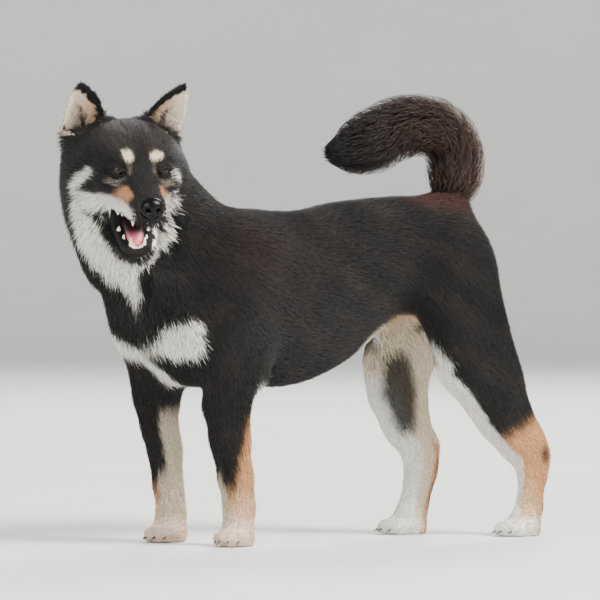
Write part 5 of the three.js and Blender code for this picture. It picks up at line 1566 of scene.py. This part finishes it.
def build_stage():
    """A pale floor that rises into a backdrop all round, soft lights and the camera."""
    settings = bpy.context.scene.shiba_stage
    nothing_selected()
    profile = [(0.0, 0.0), (4.0, 0.0), (FLOOR_REACH, 0.0)]
    profile += [(FLOOR_REACH + BACKDROP_BEND * math.sin(t), BACKDROP_BEND - BACKDROP_BEND * math.cos(t))
                for t in np.linspace(0.2, math.pi / 2, 8)]
    profile.append((FLOOR_REACH + BACKDROP_BEND, BACKDROP_HEIGHT))
    mesh = bpy.data.meshes.new("floor")
    mesh.from_pydata([(r, 0, h) for r, h in profile], [(i, i + 1) for i in range(len(profile) - 1)], [])
    floor = new_piece("floor", mesh)
    choose(floor)
    bpy.ops.object.mode_set(mode="EDIT")
    bpy.ops.mesh.select_all(action="SELECT")
    bpy.ops.mesh.spin(steps=96, angle=2 * math.pi, center=(0, 0, 0), axis=(0, 0, 1))
    bpy.ops.mesh.select_all(action="SELECT")
    bpy.ops.mesh.remove_doubles(threshold=0.0001)
    bpy.ops.mesh.normals_make_consistent(inside=True)
    bpy.ops.object.mode_set(mode="OBJECT")
    material = new_material("Studio Floor", 0.85)
    grained(material, tuple(settings.floor[:3]), 3.0, 0.02, 0.0, 0.001)
    floor.data.materials.append(material)
    bpy.ops.object.shade_smooth()
    for name, place, size, share, tint in LIGHTS:
        add_light(name, place, size, settings.key_power * share, tint)
    world = bpy.data.worlds.new("studio")
    world.use_nodes = True
    sky = world.node_tree.nodes["Background"]
    sky.inputs["Color"].default_value = SKY_TINT
    sky.inputs["Strength"].default_value = SKY_STRENGTH
    bpy.context.scene.world = world
    build_camera()


# Settings, operators and panel

def colour_setting(name, description, rgb):
    """A colour setting with a default given as screen values."""
    return bpy.props.FloatVectorProperty(name=name, description=description, subtype="COLOR", size=4,
                                         min=0, max=1, default=(*colour(rgb), 1))


class ShibaCoatSettings(bpy.types.PropertyGroup):
    """The coat's colours and how its tufts lie"""

    black: colour_setting("Black", "Guard hair of the back and sides", (16, 14, 14))
    ticking: colour_setting("Ticking", "Grey-brown hairs among the black", (56, 49, 45))
    rufous: colour_setting("Rufous", "Reddish tinge of the croup and tail", (74, 44, 33))
    tan: colour_setting("Tan", "Tan of the muzzle and legs", (212, 158, 110))
    cream: colour_setting("Cream", "Cream of the brow spots, ears and inner legs", (230, 214, 188))
    white: colour_setting("White", "White of the cheeks, throat and chest", (240, 236, 226))
    tail: colour_setting("Tail", "Brown-black of the brush", (38, 30, 27))
    frost: colour_setting("Frost", "Pale hairs on the brush's rear edge near its root", (176, 164, 148))
    cover: bpy.props.FloatProperty(name="Cover", description="How many tufts grow, as a share", default=0.94,
                                   min=0.05, max=1.2, subtype="FACTOR")
    length_scale: bpy.props.FloatProperty(name="Length", description="Tuft length as a share of the table's",
                                          default=1.0, min=0.5, max=1.5, subtype="FACTOR")
    disorder: bpy.props.FloatProperty(name="Disorder", default=8.0, min=0, max=45,
                                      description="How far tufts swing from the lie, degrees")


class ShibaFaceSettings(bpy.types.PropertyGroup):
    """The face's own colours"""

    iris: colour_setting("Iris", "Colour of the iris", (44, 25, 15))


class ShibaStageSettings(bpy.types.PropertyGroup):
    """The studio round the model"""

    floor: colour_setting("Floor", "Colour of the floor and backdrop", (226, 226, 224))
    key_power: bpy.props.FloatProperty(name="Key power", description="Power of the main light",
                                       default=1050.0, min=0, unit="POWER")


class SHIBA_OT_skin(bpy.types.Operator):
    """Build the skin from the frame's flesh"""

    bl_idname = "shiba.skin"
    bl_label = "Skin"

    def execute(self, context):
        build_skin()
        return {"FINISHED"}


class SHIBA_OT_coat(bpy.types.Operator):
    """Grow the short and long fur of the body, head, ears and legs"""

    bl_idname = "shiba.coat"
    bl_label = "Coat"

    def execute(self, context):
        for piece in build_coat(bpy.data.objects["skin"]):
            finish_piece(piece, coat_material())
        return {"FINISHED"}


class SHIBA_OT_tail(bpy.types.Operator):
    """Grow the tail's brush"""

    bl_idname = "shiba.tail"
    bl_label = "Tail brush"

    def execute(self, context):
        finish_piece(build_tail(bpy.data.objects["skin"]), coat_material())
        return {"FINISHED"}


class SHIBA_OT_eyes(bpy.types.Operator):
    """Build both eyes"""

    bl_idname = "shiba.eyes"
    bl_label = "Eyes"

    def execute(self, context):
        build_eyes()
        return {"FINISHED"}


class SHIBA_OT_nose(bpy.types.Operator):
    """Build the nose leather"""

    bl_idname = "shiba.nose"
    bl_label = "Nose"

    def execute(self, context):
        build_nose()
        return {"FINISHED"}


class SHIBA_OT_mouth(bpy.types.Operator):
    """Build the tongue and the teeth"""

    bl_idname = "shiba.mouth"
    bl_label = "Tongue and teeth"

    def execute(self, context):
        build_tongue()
        build_teeth()
        return {"FINISHED"}


class SHIBA_OT_jaw(bpy.types.Operator):
    """Open the lower jaw to the photograph's gape, after the other pieces"""

    bl_idname = "shiba.jaw"
    bl_label = "Lower jaw"

    def execute(self, context):
        drop_jaw()
        return {"FINISHED"}


class SHIBA_OT_claws(bpy.types.Operator):
    """Build the claws"""

    bl_idname = "shiba.claws"
    bl_label = "Claws"

    def execute(self, context):
        build_claws()
        return {"FINISHED"}


class SHIBA_OT_stage(bpy.types.Operator):
    """Build the floor, the lights and the camera"""

    bl_idname = "shiba.stage"
    bl_label = "Stage"

    def execute(self, context):
        build_stage()
        return {"FINISHED"}


OPERATORS = (SHIBA_OT_stage, SHIBA_OT_skin, SHIBA_OT_eyes, SHIBA_OT_nose, SHIBA_OT_mouth, SHIBA_OT_claws,
             SHIBA_OT_coat, SHIBA_OT_tail, SHIBA_OT_jaw)
SETTINGS = {"shiba_coat": ShibaCoatSettings, "shiba_face": ShibaFaceSettings,
            "shiba_stage": ShibaStageSettings}


class SHIBA_PT_panel(bpy.types.Panel):
    """The pieces and settings of the model"""

    bl_idname = "SHIBA_PT_panel"
    bl_label = "Shiba Inu"
    bl_space_type = "VIEW_3D"
    bl_region_type = "UI"
    bl_category = "Shiba"

    def draw(self, context):
        for name, group in SETTINGS.items():
            box = self.layout.box()
            for key in group.__annotations__:
                box.prop(getattr(context.scene, name), key)
        for operator in OPERATORS:
            self.layout.operator(operator.bl_idname)


CLASSES = (*SETTINGS.values(), *OPERATORS, SHIBA_PT_panel)


def register():
    """Registers the classes and gives the scene its settings."""
    for cls in CLASSES:
        bpy.utils.register_class(cls)
    for name, group in SETTINGS.items():
        setattr(bpy.types.Scene, name, bpy.props.PointerProperty(type=group))


def unregister():
    """Removes the settings and the classes."""
    for name in SETTINGS:
        delattr(bpy.types.Scene, name)
    for cls in reversed(CLASSES):
        bpy.utils.unregister_class(cls)


def main():
    """Builds every piece in order."""
    register()
    bpy.ops.shiba.stage()
    bpy.ops.shiba.skin()
    bpy.ops.shiba.eyes()
    bpy.ops.shiba.nose()
    bpy.ops.shiba.mouth()
    bpy.ops.shiba.claws()
    bpy.ops.shiba.coat()
    bpy.ops.shiba.tail()
    bpy.ops.shiba.jaw()


if __name__ == "__main__":
    main()
